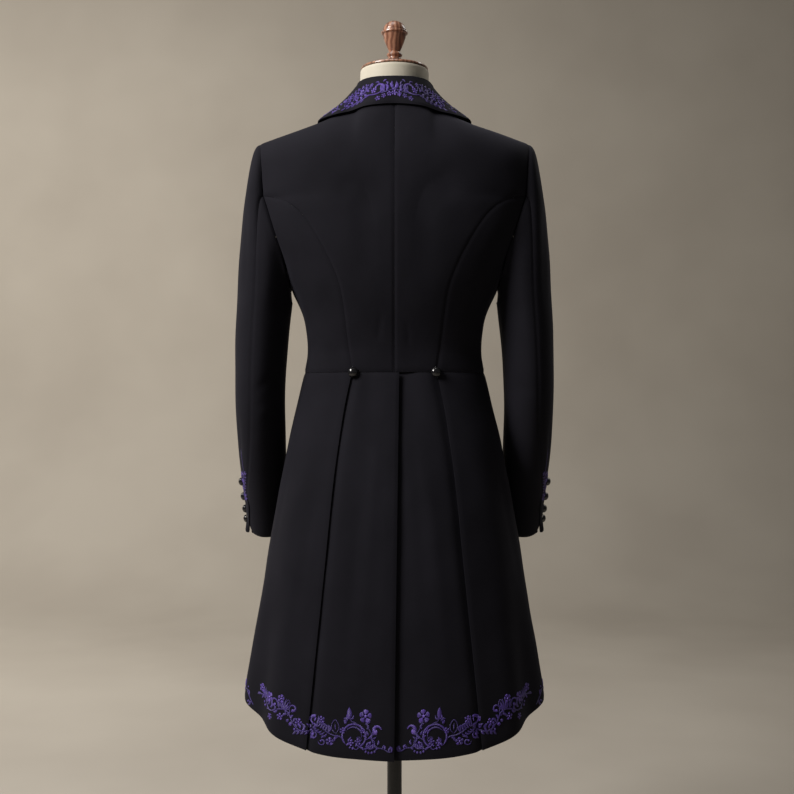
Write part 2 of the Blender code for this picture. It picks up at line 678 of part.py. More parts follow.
def wall_mesh(name, grid, normals):
    """A closed wall of cloth from a grid of outer points, its thickness inwards."""
    rows, columns = grid.shape[:2]
    shift = inset_shift(grid, normals)
    outer = (grid + shift).reshape(-1, 3)
    inner = (grid + shift - normals * WALL).reshape(-1, 3)
    flat = grid.reshape(-1, 3)
    back = (grid - normals * WALL).reshape(-1, 3)
    total = rows * columns

    def at(i, j):
        return i * columns + j

    faces = []
    for i in range(rows - 1):
        for j in range(columns - 1):
            corners = (at(i, j), at(i + 1, j), at(i + 1, j + 1), at(i, j + 1))
            for cell in split_cell(corners, outer):
                faces.append(cell)
                faces.append(tuple(total + corner for corner in reversed(cell)))
    loop = [at(0, j) for j in range(columns)]
    loop += [at(i, columns - 1) for i in range(1, rows)]
    loop += [at(rows - 1, j) for j in range(columns - 2, -1, -1)]
    loop += [at(i, 0) for i in range(rows - 2, 0, -1)]
    for k, start in enumerate(loop):
        end = loop[(k + 1) % len(loop)]
        if from_start(flat, back, start, end):
            faces += [(start, end, total + end), (start, total + end, total + start)]
        else:
            faces += [(start, end, total + start), (end, total + end, total + start)]
    return mesh_from(name, [tuple(point) for point in outer] + [tuple(point) for point in inner], faces)


def mesh_from(name, points, faces):
    """A mesh with doubles merged and its faces pointing out."""
    mesh = bpy.data.meshes.new(name)
    mesh.from_pydata(points, [], faces)
    work = bmesh.new()
    work.from_mesh(mesh)
    bmesh.ops.remove_doubles(work, verts=work.verts, dist=0.00002)
    bmesh.ops.recalc_face_normals(work, faces=work.faces)
    work.to_mesh(mesh)
    work.free()
    return mesh


def material(name, colour, roughness, metallic=0.0):
    """A Principled material in one colour."""
    made = bpy.data.materials.new(name)
    made.use_nodes = True
    shader = made.node_tree.nodes["Principled BSDF"]
    shader.inputs["Base Color"].default_value = (*colour, 1.0)
    shader.inputs["Roughness"].default_value = roughness
    shader.inputs["Metallic"].default_value = metallic
    return made


def place_object(name, mesh, look, collection):
    """One named object for one sub-part."""
    made = bpy.data.objects.new(name, mesh)
    made.data.materials.append(look)
    made.data.shade_smooth()
    made.data.set_sharp_from_angle(angle=math.radians(40))
    collection.objects.link(made)
    return made


def turned(name, profile, steps, look, collection):
    """A turned piece: its profile runs down the outer side and a Screw modifier turns it."""
    mesh = bpy.data.meshes.new(name)
    points = [(radius, 0.0, height) for radius, height in profile]
    mesh.from_pydata(points, [(i, i + 1) for i in range(len(points) - 1)], [])
    made = place_object(name, mesh, look, collection)
    screw = made.modifiers.new("turn", "SCREW")
    screw.steps = steps
    screw.render_steps = steps
    screw.use_merge_vertices = True
    screw.merge_threshold = 0.00005
    screw.use_smooth_shade = True
    return made


def button(name, radius, seat, normal, look, collection):
    """A domed button on the cloth, its axis along the cloth's normal."""
    profile = [(radius * out, radius * rise) for out, rise in reversed(BUTTON_PROFILE)]
    made = turned(name, profile + [(0.0, 0.0)], BUTTON_SIDES, look, collection)
    made.location = Vector(seat + normal * BUTTON_SEAT)
    made.rotation_euler = Vector(normal).to_track_quat("Z", "Y").to_euler()
    return made


def form_section(height):
    """Half width, back depth, front depth and the arm side of the dress form."""
    arm = column_curve(FORM_ARM, 0, 1)(height) if height > FORM_ARM[0][0] else 1.0
    width = half_width(height) - FORM_CLEAR
    return width, back_depth(height) - FORM_CLEAR, front_depth(height) - FORM_CLEAR, min(arm, width)


def form_ring(x, back):
    """The top of the form over x: the neck's ring inside, the shoulder line outside."""
    if x <= FORM_NECK_RADIUS + 1e-6:
        y = math.sqrt(max(FORM_NECK_RADIUS ** 2 - x * x, 0.0))
        return (y if back else -y), FORM_NECK_HEIGHT
    return SHOULDER_Y, min(back_ridge(x) - RIDGE_CLEAR, FORM_NECK_HEIGHT)


def form_point(turn, level, back):
    """A point of the form; level 0 to 1 is the trunk, 1 to 2 rolls over to the top."""
    sine = math.sin(math.radians(turn))
    top_x = FORM_NECK_RADIUS if turn == FORM_NECK_TURN else sine * FORM_ARM[-1][1]
    top_y, top_z = form_ring(top_x, back)
    start = ROLL_START - FORM_ROLL_CLEAR
    if level >= 2:
        return (top_x, top_y, top_z)
    height = FORM_BOTTOM + (start - FORM_BOTTOM) * min(level, 1.0)
    if level > 1:
        height = start + (top_z - start) * math.sin(math.pi / 2 * (level - 1))
    width, back_reach, front_reach, arm = form_section(height)
    x = sine * arm
    if level > 1:
        x += (top_x - x) * (level - 1)
    depth = max(1 - (abs(x) / width) ** FULLNESS, 0.0) ** (1 / FULLNESS)
    y = depth * (back_reach if back else -front_reach)
    rise = max(height - start, 0.0) / (top_z - start)
    power = FORM_FRONT_ROLL
    if back:
        power = FORM_BACK_ROLL + FORM_BACK_ROLL_MORE * min(x / BACK_ROLL_WIDTH, 1.0)
    y = top_y + (y - top_y) * (1 - min(rise, 1.0) ** power) ** (1 / power)
    return (x, y, height)


def form_mesh():
    """The form's trunk: both sides of every level, zipped along the shoulders, flat below."""
    levels = [i / TRUNK_LEVELS for i in range(TRUNK_LEVELS + 1)]
    levels += [1 + i / ROLL_LEVELS for i in range(1, ROLL_LEVELS + 1)]
    loops = []
    for level in levels:
        back = [form_point(turn, level, True) for turn in FORM_TURNS]
        front = [form_point(turn, level, False) for turn in FORM_TURNS]
        mid = [(a + b) / 2 for a, b in zip(back[-1], front[-1])]
        bulge = FORM_ARM_BULGE * min(abs(back[-1][1] - front[-1][1]) / 0.08, 1.0)
        half = back + [(mid[0] + bulge, mid[1], mid[2])] + front[::-1]
        loops.append(half + [(-x, y, z) for x, y, z in half[-2:0:-1]])
    count = len(loops[0])
    points = [point for loop in loops for point in loop]
    faces = []
    for i in range(len(loops) - 1):
        for j in range(count):
            k = (j + 1) % count
            faces.append((i * count + j, i * count + k, (i + 1) * count + k, (i + 1) * count + j))
    faces.append(tuple(range(count)))
    top = (len(loops) - 1) * count
    ring = [j for j in range(count)
            if abs(points[top + j][2] - FORM_NECK_HEIGHT) < 1e-6
            and math.hypot(*points[top + j][:2]) < FORM_NECK_RADIUS + 1e-5]
    places = {}
    for j in ring:
        places[tuple(round(value, 6) for value in points[top + j])] = top + j
    middle = len(points)
    points.append((0.0, 0.0, FORM_NECK_HEIGHT))
    rim = sorted(places.values(), key=lambda k: math.atan2(points[k][1], points[k][0]))
    for j, start in enumerate(rim):
        faces.append((start, rim[(j + 1) % len(rim)], middle))
    return mesh_from("form_torso", points, faces)


def clear_scene():
    """Remove what the file opened with."""
    for old in list(bpy.data.objects):
        bpy.data.objects.remove(old, do_unlink=True)


def build_coat(wool, horn, collection):
    """All cloth pieces and their buttons."""
    grids = {"back_left": back_grid(), "side_body_left": side_body_grid()}
    grids["forepart_left"] = forepart_grid(FRONT_LIFT)
    sleeve, hind, fore, last = sleeve_grid()
    grids["under_sleeve_left"] = sleeve[:, hind:fore + 1]
    grids["top_sleeve_left"] = np.concatenate((sleeve[:, fore:last], sleeve[:, :hind + 1]), axis=1)
    for name in list(grids):
        grids[name.replace("left", "right")] = mirrored(grids[name])
    grids["forepart_right"] = mirrored(forepart_grid(-FRONT_SINK))
    normals = joined_normals(grids)

    def vent_over(part):
        return -VENT_LAP_TOP * part

    def vent_under(part):
        return -VENT_UNDERLAP

    loose = {"skirt_back_left": skirt_back_grid(vent_over, VENT_LIFT)}
    loose["skirt_back_right"] = mirrored(skirt_back_grid(vent_under, -VENT_SINK))
    loose["skirt_side_left"] = skirt_side_grid()
    loose["skirt_side_right"] = mirrored(skirt_side_grid())
    loose["lapel_left"] = lapel_grid(FRONT_LIFT)
    loose["lapel_right"] = mirrored(lapel_grid(-FRONT_SINK))
    half = collar_grid()
    # Sections of the right half run the other way, so the whole collar is one run of sections
    loose["collar"] = np.concatenate((half[:0:-1] * np.array((-1.0, 1.0, 1.0)), half))
    for name, grid in loose.items():
        grids[name] = grid
        normals[name] = point_normals(grid)
    for name, grid in grids.items():
        place_object(name, wall_mesh(name, grid, normals[name]), wool, collection)
    for side, sign in (("left", 1), ("right", -1)):
        flip = np.array((sign, 1.0, 1.0))
        x, height, radius = HIP_BUTTON
        turn = turn_at(x, height)
        seat = body_point(turn, height, HIP_BUTTON_LIFT)
        button(f"hip_button_{side}", radius, seat * flip, body_normal(turn, height) * flip, horn, collection)
        for i, height in enumerate(CUFF_BUTTON_HEIGHTS):
            seat, normal = sleeve_seat(CUFF_BUTTON_TURN, height)
            button(f"cuff_button_{side}_{i + 1}", CUFF_BUTTON_RADIUS, seat * flip, normal * flip, horn,
                   collection)
    for i, height in enumerate(FRONT_BUTTON_HEIGHTS):
        seat = body_point(180, height, FRONT_LIFT - FRONT_BUTTON_SINK)
        button(f"front_button_{i + 1}", FRONT_BUTTON_RADIUS, seat, body_normal(180, height), horn, collection)


def sleeve_seat(angle, height):
    """A place on the sleeve and the way out of it there; height is of the place itself."""
    middle = height
    for _ in range(6):
        middle += height - sleeve_point(angle, middle)[2]
    point = sleeve_point(angle, middle)
    round_ = sleeve_point(angle + TURN_STEP, middle) - sleeve_point(angle - TURN_STEP, middle)
    down = sleeve_point(angle, middle - HEIGHT_STEP) - sleeve_point(angle, middle + HEIGHT_STEP)
    normal = np.cross(down, round_)
    return point, normal / np.linalg.norm(normal)


def build_form(jersey, wood, metal, collection):
    """The dress form, its neck, cap and finial, the pole and the base."""
    place_object("form_torso", form_mesh(), jersey, collection)
    low = FORM_NECK_HEIGHT + SEAM_GAP
    profile = [(0.0, NECK_TOP), (NECK_RADIUS - NECK_EDGE, NECK_TOP),
               (NECK_RADIUS - NECK_EDGE * 0.3, NECK_TOP - NECK_EDGE * 0.3),
               (NECK_RADIUS, NECK_TOP - NECK_EDGE), (NECK_RADIUS, low), (0.0, low)]
    turned("form_neck", profile, ROUND_STEPS, jersey, collection)
    low = NECK_TOP + SEAM_GAP
    rim = NECK_RADIUS - CAP_INSET
    profile = [(0.0, CAP_TOP), (rim - CAP_EDGE, CAP_TOP), (rim, CAP_TOP - CAP_EDGE), (rim, low), (0.0, low)]
    turned("neck_cap", profile, ROUND_STEPS, wood, collection)
    profile = [(radius, FINIAL_TOP - drop) for radius, drop in FINIAL]
    profile += [(radius, CAP_TOP + SEAM_GAP + rise) for radius, rise in FINIAL_FOOT]
    turned("finial", profile, FINIAL_STEPS, wood, collection)
    top = FORM_BOTTOM - SEAM_GAP
    low = BASE_HEIGHT + SEAM_GAP
    profile = [(0.0, top), (POLE_RADIUS, top), (POLE_RADIUS, low), (0.0, low)]
    turned("stand_pole", profile, POLE_STEPS, metal, collection)
    profile = [(radius, BASE_HEIGHT - drop) for radius, drop in BASE]
    profile += [(BASE_RADIUS, 0.0), (0.0, 0.0)]
    turned("stand_base", profile, ROUND_STEPS, metal, collection)


def main():
    clear_scene()
    collection = bpy.data.collections.new(OBJECT_NAME)
    bpy.context.scene.collection.children.link(collection)
    wool = material("black_wool", (0.012, 0.012, 0.014), 0.85)
    horn = material("black_button", (0.010, 0.010, 0.011), 0.25)
    jersey = material("cream_jersey", (0.72, 0.66, 0.54), 0.90)
    wood = material("polished_wood", (0.16, 0.045, 0.018), 0.28)
    metal = material("black_stand", (0.02, 0.02, 0.02), 0.40, 1.0)
    build_coat(wool, horn, collection)
    build_form(jersey, wood, metal, collection)


main()
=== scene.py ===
# %% [markdown]
# # A Victorian tailcoat on a dress form
#
# The coat is black fine wool with purple satin stitch on its collar, cuffs and hem.
# It hangs on a limbless dress form with a cream cover, a thin wood cap and a turned finial.
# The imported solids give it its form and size, and this script gives it cloth, thread and polish.

# %% Load the solids
import json
import math
from contextlib import contextmanager

import bpy
import numpy as np
from mathutils import Matrix, Vector
from mathutils.bvhtree import BVHTree

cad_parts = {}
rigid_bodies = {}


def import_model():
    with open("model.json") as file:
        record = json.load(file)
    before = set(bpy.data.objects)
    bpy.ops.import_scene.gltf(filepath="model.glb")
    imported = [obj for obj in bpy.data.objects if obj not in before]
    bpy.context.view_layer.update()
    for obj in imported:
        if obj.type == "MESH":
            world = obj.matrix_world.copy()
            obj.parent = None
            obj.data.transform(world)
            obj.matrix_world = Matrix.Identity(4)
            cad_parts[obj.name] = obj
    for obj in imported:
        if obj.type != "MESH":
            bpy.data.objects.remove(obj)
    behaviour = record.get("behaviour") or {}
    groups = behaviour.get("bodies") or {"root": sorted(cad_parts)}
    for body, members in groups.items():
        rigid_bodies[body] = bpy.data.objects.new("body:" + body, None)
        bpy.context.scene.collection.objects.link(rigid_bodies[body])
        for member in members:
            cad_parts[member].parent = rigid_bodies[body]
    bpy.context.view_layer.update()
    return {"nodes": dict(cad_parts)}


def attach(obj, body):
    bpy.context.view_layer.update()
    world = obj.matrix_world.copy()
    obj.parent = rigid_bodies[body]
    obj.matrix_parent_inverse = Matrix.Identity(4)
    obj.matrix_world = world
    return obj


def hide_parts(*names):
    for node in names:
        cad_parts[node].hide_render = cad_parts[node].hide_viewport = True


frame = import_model()
solids = frame["nodes"]


# %% Small helpers that every later cell uses
def deselect():
    """Nothing selected and object mode, so an operator acts only on what comes next."""
    if bpy.context.object and bpy.context.object.mode != "OBJECT":
        bpy.ops.object.mode_set(mode="OBJECT")
    bpy.ops.object.select_all(action="DESELECT")


def take(piece):
    """Select one piece alone and make it active."""
    deselect()
    piece.select_set(True)
    bpy.context.view_layer.objects.active = piece
    return piece


@contextmanager
def editing(piece, everything=True):
    """Edit mode on one piece, with all of it selected or as it was, and object mode afterwards."""
    take(piece)
    bpy.ops.object.mode_set(mode="EDIT")
    if everything:
        bpy.ops.mesh.select_all(action="SELECT")
    yield
    bpy.ops.object.mode_set(mode="OBJECT")


def new_piece(name, data):
    """A mesh, light or camera as an object in the scene."""
    piece = bpy.data.objects.new(name, data)
    bpy.context.scene.collection.objects.link(piece)
    return piece


def dress(piece, look, slot, node=None):
    """Give a piece its material and its body, and hide the solid it stands for, if any. The slot is not
    used.
    """
    piece.data.materials.append(look)
    if node:
        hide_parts(node)
    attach(piece, "root")


def soften(piece, degrees):
    """Smooth shading, but for edges sharper than an angle."""
    piece.data.shade_smooth()
    take(piece)
    bpy.ops.object.shade_smooth_by_angle(angle=math.radians(degrees))


def apply_all(piece):
    """Apply the modifiers of a piece from the first to the last."""
    take(piece)
    for name in [modifier.name for modifier in piece.modifiers]:
        bpy.ops.object.modifier_apply(modifier=name)


def triangles(piece):
    """How many triangles a piece has."""
    return sum(len(polygon.vertices) - 2 for polygon in piece.data.polygons)


def points_of(mesh, what="co"):
    """The points of a mesh, or with "normal" the normals at them, as an array."""
    flat = np.zeros(len(mesh.vertices) * 3)
    mesh.vertices.foreach_get(what, flat)
    return flat.reshape(-1, 3)


def set_points(mesh, points):
    """Give a mesh new places for its points."""
    mesh.vertices.foreach_set("co", np.asarray(points, dtype=float).ravel())
    mesh.update()


def ease(start, end, at):
    """0 before start and 1 after end, smooth between, for arrays and single values."""
    share = np.clip((at - start) / (end - start), 0.0, 1.0)
    return share * share * (3 - 2 * share)


def lengths_along(points):
    """How far along a row of points each of them lies."""
    return np.concatenate(([0], np.cumsum(np.linalg.norm(np.diff(points, axis=0), axis=1))))


def read_at(at, known, table):
    """Every column of a table, read between the rows whose places are known."""
    return np.stack([np.interp(at, known, column) for column in table.T], axis=-1)


def unit(rows):
    """Every row as a direction of length 1."""
    return rows / np.maximum(np.linalg.norm(rows, axis=1), 1e-9)[:, None]


# %% [markdown]
# The photograph was taken level from behind, about two metres away, with a lens a little longer
# than normal. A camera is placed from those facts first, so that each later piece can be judged
# in the same view.

# %% Camera
CAMERA_PLACE = (-0.0043, 1.9625, 1.022)
CAMERA_LENS = 51.7

camera_data = bpy.data.cameras.new("camera")
camera_data.lens = CAMERA_LENS
camera_data.sensor_width = 36.0
camera = new_piece("camera", camera_data)
camera.location = CAMERA_PLACE
camera.rotation_euler = (math.radians(90), 0, math.radians(180))
bpy.context.scene.camera = camera

# %% [markdown]
# A studio sweep is a floor that curves up into a wall, so no corner shows behind the coat.
# It is one plane whose far edge is extruded up, with the corner bevelled round.

# %% Floor and backdrop
SWEEP_SIZE = (22.0, 16.0, 1.0)
SWEEP_MIDDLE = (0.0, 3.4, 0.0)
SWEEP_HEIGHT = 6.0
SWEEP_ROUND = 1.4
CLOSE = 1e-4               # nearer than this is the same place


def choose_edges(mesh, chosen):
    """Select the edges of a mesh whose ends both pass a test."""
    for edge in mesh.edges:
        edge.select = all(chosen(mesh.vertices[v].co) for v in edge.vertices)


deselect()
bpy.ops.mesh.primitive_plane_add(size=1, location=(0, 0, 0))
sweep = bpy.context.object
sweep.name = "studio_sweep"
sweep.scale = SWEEP_SIZE
sweep.location = SWEEP_MIDDLE
bpy.ops.object.transform_apply(location=True, scale=True)
with editing(sweep):
    bpy.ops.mesh.select_all(action="DESELECT")
back_line = min(vertex.co.y for vertex in sweep.data.vertices)
choose_edges(sweep.data, lambda place: abs(place.y - back_line) < CLOSE)
with editing(sweep, everything=False):
    bpy.ops.mesh.select_mode(type="EDGE")
    bpy.ops.mesh.extrude_region_move(TRANSFORM_OT_translate={"value": (0, 0, SWEEP_HEIGHT)})
choose_edges(sweep.data, lambda place: abs(place.y - back_line) < CLOSE and abs(place.z) < CLOSE)
with editing(sweep, everything=False):
    bpy.ops.mesh.bevel(offset=SWEEP_ROUND, segments=14)
bpy.ops.object.shade_smooth()
print("sweep reaches back to", round(back_line, 2))

# %% [markdown]
# Black cloth shows its shape only where light grazes it. A soft key light stands high on the
# picture's left, and a very weak one fills the right. One from above draws the shoulders and one
# from beyond the coat lights its front. The last lights the wall, and the world adds a low even
# light.


# %% Lights
def soft_light(name, place, size, power, colour, aim=(0.0, 0.0, 1.05)):
    """A square area light aimed at the coat, or elsewhere."""
    data = bpy.data.lights.new(name, "AREA")
    data.size = size
    data.energy = power
    data.color = colour
    light = new_piece(name, data)
    light.location = place
    light.rotation_euler = (Vector(aim) - Vector(place)).to_track_quat("-Z", "Y").to_euler()


soft_light("key", (1.8, 1.15, 2.55), 1.0, 76, (1.0, 0.97, 0.93))
soft_light("fill", (-2.4, 1.6, 1.5), 2.0, 0.5, (0.92, 0.95, 1.0))
soft_light("front_key", (-1.6, -1.2, 2.9), 1.2, 12, (1.0, 0.97, 0.93))
soft_light("top", (0.5, 0.2, 3.4), 1.4, 14, (1.0, 0.98, 0.95), (0.0, 0.0, 1.2))
soft_light("wall", (2.6, -1.6, 2.6), 2.4, 88, (1.0, 0.95, 0.88), (0.9, -4.6, 1.3))

world = bpy.data.worlds.new("studio")
bpy.context.scene.world = world
world.use_nodes = True
world_light = world.node_tree.nodes["Background"].inputs
world_light["Color"].default_value = (0.95, 0.93, 0.90, 1.0)
world_light["Strength"].default_value = 0.055
bpy.context.scene.view_settings.view_transform = "Standard"


# %% [markdown]
# Materials are node trees. These helpers keep the later cells short: they open a material, add
# and link nodes, lay out a colour ramp, turn a height into relief, and make and use groups.

# %% Helpers for nodes
def new_material(name, values):
    """A material with its tree and its Principled shader, some of whose inputs are set."""
    made = bpy.data.materials.new(name)
    made.use_nodes = True
    shader = made.node_tree.nodes["Principled BSDF"]
    for key, value in values.items():
        shader.inputs[key].default_value = value
    return made, made.node_tree, shader


def add_node(tree, kind, values=None, **settings):
    """A node with some of its settings and input values set."""
    node = tree.nodes.new(kind)
    for key, value in settings.items():
        setattr(node, key, value)
    for key, value in (values or {}).items():
        node.inputs[key].default_value = value
    return node


def wire(tree, *links):
    """Link nodes, each link as (node, output, node, input)."""
    for source, outlet, target, inlet in links:
        tree.links.new(source.outputs[outlet], target.inputs[inlet])


def ramp(tree, stops):
    """A colour ramp from (place, colour) stops."""
    node = tree.nodes.new("ShaderNodeValToRGB")
    points = node.color_ramp.elements
    while len(points) < len(stops):
        points.new(0.5)
    for point, (place, colour) in zip(points, stops):
        point.position = place
        point.color = (*colour, 1.0)
    return node


def relief(tree, shader, source, outlet, strength, depth):
    """A bump on the shader from one output of a node."""
    bump = add_node(tree, "ShaderNodeBump", {"Strength": strength, "Distance": depth})
    wire(tree, (source, outlet, bump, "Height"), (bump, "Normal", shader, "Normal"))


def new_group(name, inputs, outputs):
    """A shader node group of floats, from (name, default) inputs and the names of its outputs."""
    tree = bpy.data.node_groups.new(name, "ShaderNodeTree")
    for label, default in inputs:
        socket = tree.interface.new_socket(label, in_out="INPUT", socket_type="NodeSocketFloat")
        socket.default_value = default
    for label in outputs:
        tree.interface.new_socket(label, in_out="OUTPUT", socket_type="NodeSocketFloat")
    return tree, tree.nodes.new("NodeGroupInput"), tree.nodes.new("NodeGroupOutput")


def use_group(tree, group, **values):
    """Place a group in a material and set its inputs."""
    node = tree.nodes.new("ShaderNodeGroup")
    node.node_tree = group
    for key, value in values.items():
        node.inputs[key].default_value = value
    return node


def marked_material(name, roughness, marks, stops, gloss=None, bump=None, coat=0.0):
    """A plain material with noise marks in its shade and, where given, in its gloss and relief."""
    made, tree, shader = new_material(name, {"Roughness": roughness, "Coat Weight": coat})
    place = add_node(tree, "ShaderNodeTexCoord")
    noise = add_node(tree, "ShaderNodeTexNoise", {"Scale": marks[0], "Detail": marks[1]})
    shades = ramp(tree, stops)
    wire(tree, (place, "Object", noise, "Vector"), (noise, "Fac", shades, "Fac"),
         (shades, "Color", shader, "Base Color"))
    if gloss:
        spread = add_node(tree, "ShaderNodeMapRange", {"To Min": gloss[0], "To Max": gloss[1]})
        wire(tree, (noise, "Fac", spread, "Value"), (spread, "Result", shader, "Roughness"))
    if bump:
        relief(tree, shader, noise, "Fac", *bump)
    return made


# %% [markdown]
# Fine wool is a twill: each thread passes over two and under two, one step on in every row,
# which draws fine diagonal lines. A short nap of fibres lies over them and blurs them, and dust
# and pressing leave faint lighter and darker places. The group reads the cloth's own map, which
# is in metres, so one pitch fits every piece.

# %% The woven cloth group
TWILL_PITCH = 0.0011
WAVE_PERIOD = 2 * math.pi / 20      # Blender's wave texture repeats after this at scale 1

weave, weave_in, weave_out = new_group(
    "twill_cloth", [("Pitch Scale", WAVE_PERIOD / TWILL_PITCH), ("Nap", 0.5)], ["Height", "Shade"])
uv_map = add_node(weave, "ShaderNodeTexCoord")
twill = add_node(weave, "ShaderNodeTexWave", {"Distortion": 0.6, "Detail": 1.0, "Detail Scale": 2.0},
                 wave_type="BANDS", bands_direction="DIAGONAL")
threads = add_node(weave, "ShaderNodeTexWave", {"Distortion": 0.3}, wave_type="BANDS",
                   bands_direction="Y")
fibres = add_node(weave, "ShaderNodeTexNoise", {"Scale": 1500.0, "Detail": 3.0, "Roughness": 0.6})
pressing = add_node(weave, "ShaderNodeTexNoise", {"Scale": 9.0, "Detail": 4.0, "Roughness": 0.55})
cross = add_node(weave, "ShaderNodeMath", operation="MULTIPLY")
height = add_node(weave, "ShaderNodeMix", data_type="FLOAT")
shade = add_node(weave, "ShaderNodeMix", {"Factor": 0.35}, data_type="FLOAT")
wire(weave, *[(uv_map, "UV", texture, "Vector") for texture in (twill, threads, fibres, pressing)],
     (weave_in, "Pitch Scale", twill, "Scale"), (weave_in, "Pitch Scale", threads, "Scale"),
     (twill, "Fac", cross, 0), (threads, "Fac", cross, 1), (weave_in, "Nap", height, "Factor"),
     (cross, 0, height, "A"), (fibres, "Fac", height, "B"), (height, "Result", weave_out, "Height"),
     (pressing, "Fac", shade, "A"), (fibres, "Fac", shade, "B"),
     (shade, "Result", weave_out, "Shade"))


# %% Black wool, the cream jersey of the form's cover, and the pale floor
def cloth_material(name, dark, light, roughness, sheen, sheen_tint, gloss, depth, nap):
    """A woven material between two shades of one colour."""
    made, tree, shader = new_material(name, {
        "Roughness": roughness, "Sheen Weight": sheen, "Sheen Roughness": 0.45,
        "Sheen Tint": (*sheen_tint, 1.0), "Specular IOR Level": gloss})
    woven = use_group(tree, weave, Nap=nap)
    shades = ramp(tree, ((0.30, dark), (0.70, light)))
    wire(tree, (woven, "Shade", shades, "Fac"), (shades, "Color", shader, "Base Color"))
    relief(tree, shader, woven, "Height", 0.5, depth)
    return made


wool = cloth_material("black_wool", (0.0064, 0.0060, 0.0092), (0.0110, 0.0103, 0.0152),
                      0.88, 0.035, (0.72, 0.72, 1.0), 0.14, 0.00025, 0.45)
jersey = cloth_material("cream_jersey", (0.57, 0.525, 0.43), (0.66, 0.61, 0.51),
                        0.92, 0.15, (1.0, 0.97, 0.90), 0.28, 0.0002, 0.3)
sweep.data.materials.append(marked_material(
    "pale_floor", 0.9, (1.3, 3.0), ((0.35, (0.45, 0.41, 0.355)), (0.65, (0.50, 0.46, 0.40)))))

# %% [markdown]
# Each panel of the coat is a flat cut of cloth that sewing and pressing have shaped. Its solid
# already has the right outline, so the cloth starts as a copy of it. The wall's narrow rim goes
# first: each of its triangles has one side as long as the wall is thick. That leaves an outer and
# an inner skin, and the larger one is the outer.

# %% The outer side of a solid as an open sheet
WALL = 0.002
WALL_TOLERANCE = 0.00004
MERGE = 0.00002


def choose_faces(piece, chosen):
    """Select the faces whose numbers are given, and no others."""
    bpy.context.tool_settings.mesh_select_mode = (False, False, True)
    for polygon in piece.data.polygons:
        polygon.select = polygon.index in chosen


def delete_faces(piece, unwanted):
    """Delete the faces whose numbers are given."""
    choose_faces(piece, unwanted)
    with editing(piece, everything=False):
        bpy.ops.mesh.delete(type="FACE")


def outer_sheet(node, name):
    """A new piece: the outer skin of a solid's wall."""
    piece = new_piece(name, solids[node].data.copy())
    piece.data.materials.clear()
    with editing(piece):
        bpy.ops.mesh.remove_doubles(threshold=MERGE)
    points = points_of(piece.data)
    rim = set()
    for polygon in piece.data.polygons:
        lengths = [np.linalg.norm(points[a] - points[b]) for a, b in polygon.edge_keys]
        if min(abs(length - WALL) for length in lengths) < WALL_TOLERANCE:
            rim.add(polygon.index)
    delete_faces(piece, rim)
    choose_faces(piece, {0})
    with editing(piece, everything=False):
        bpy.ops.mesh.select_linked()
    skins = ([], [])
    for polygon in piece.data.polygons:
        skins[polygon.select].append(polygon)
    smaller = min(skins, key=lambda skin: sum(polygon.area for polygon in skin))
    delete_faces(piece, {polygon.index for polygon in smaller})
    piece.data.shade_smooth()
    return piece


# %% [markdown]
# Subdivision stays even only on four-sided faces. The panel was a grid before it was cut into
# triangles, so the lost grid is worked out like a puzzle: each triangle gives up exactly one
# side, and four lines must meet at every inner point. What follows from one line settles the next.

# %% Triangles back to a grid of four-sided faces
def settle(faces_of, edges_of_face, edges_of_point, inner, known, waiting):
    """Follow the two rules until nothing new follows. False if they are broken."""
    while waiting:
        kind, key = waiting.pop()
        if kind == "face":
            edges = edges_of_face[key]
            kept = [edge for edge in edges if known.get(edge) is True]
            lost = [edge for edge in edges if known.get(edge) is False]
            if len(kept) == 3 or len(lost) > 1:
                return False
            forced = {edge: True for edge in edges} if lost else {}
            if len(kept) == 2:
                forced = {edge: False for edge in edges}
        else:
            edges = edges_of_point[key]
            kept = sum(1 for edge in edges if known.get(edge) is True)
            open_edges = [edge for edge in edges if edge not in known]
            wanted = 4 if key in inner else 3
            if kept > wanted or (key in inner and kept + len(open_edges) < wanted):
                return False
            forced = {edge: False for edge in open_edges} if kept == wanted else {}
            if key in inner and kept + len(open_edges) == wanted:
                forced = {edge: True for edge in open_edges}
        for edge, keep in forced.items():
            if edge not in known:
                known[edge] = keep
                waiting += [("face", face) for face in faces_of[edge]]
                waiting += [("point", point) for point in edge]
    return True


def lost_sides(mesh):
    """The triangle sides to take out, as pairs of points."""
    faces_of = {}
    for polygon in mesh.polygons:
        for key in polygon.edge_keys:
            faces_of.setdefault(key, []).append(polygon.index)
    edges_of_face = {polygon.index: list(polygon.edge_keys) for polygon in mesh.polygons}
    edges_of_point = {}
    for key in faces_of:
        for point in key:
            edges_of_point.setdefault(point, []).append(key)
    outline = [key for key, faces in faces_of.items() if len(faces) == 1]
    on_outline = {point for key in outline for point in key}
    inner = set(edges_of_point) - on_outline
    known = {key: True for key in outline}
    waiting = [("face", face) for face in edges_of_face] + [("point", point) for point in edges_of_point]
    rules = (faces_of, edges_of_face, edges_of_point, inner)
    choices = []
    good = settle(*rules, known, waiting)
    while not good or len(known) < len(faces_of):
        if good:
            touched = [key for key in faces_of if key not in known]
            touched.sort(key=lambda key: -sum(edge in known for point in key
                                              for edge in edges_of_point[point]))
            choices.append((dict(known), touched[0], False))
            known[touched[0]] = True
        else:
            known, key, keep = choices.pop()
            known[key] = keep
            touched = [key]
        ends = [("face", face) for face in faces_of[touched[0]]]
        ends += [("point", point) for point in touched[0]]
        good = settle(*rules, known, ends)
    return {key for key, keep in known.items() if not keep}


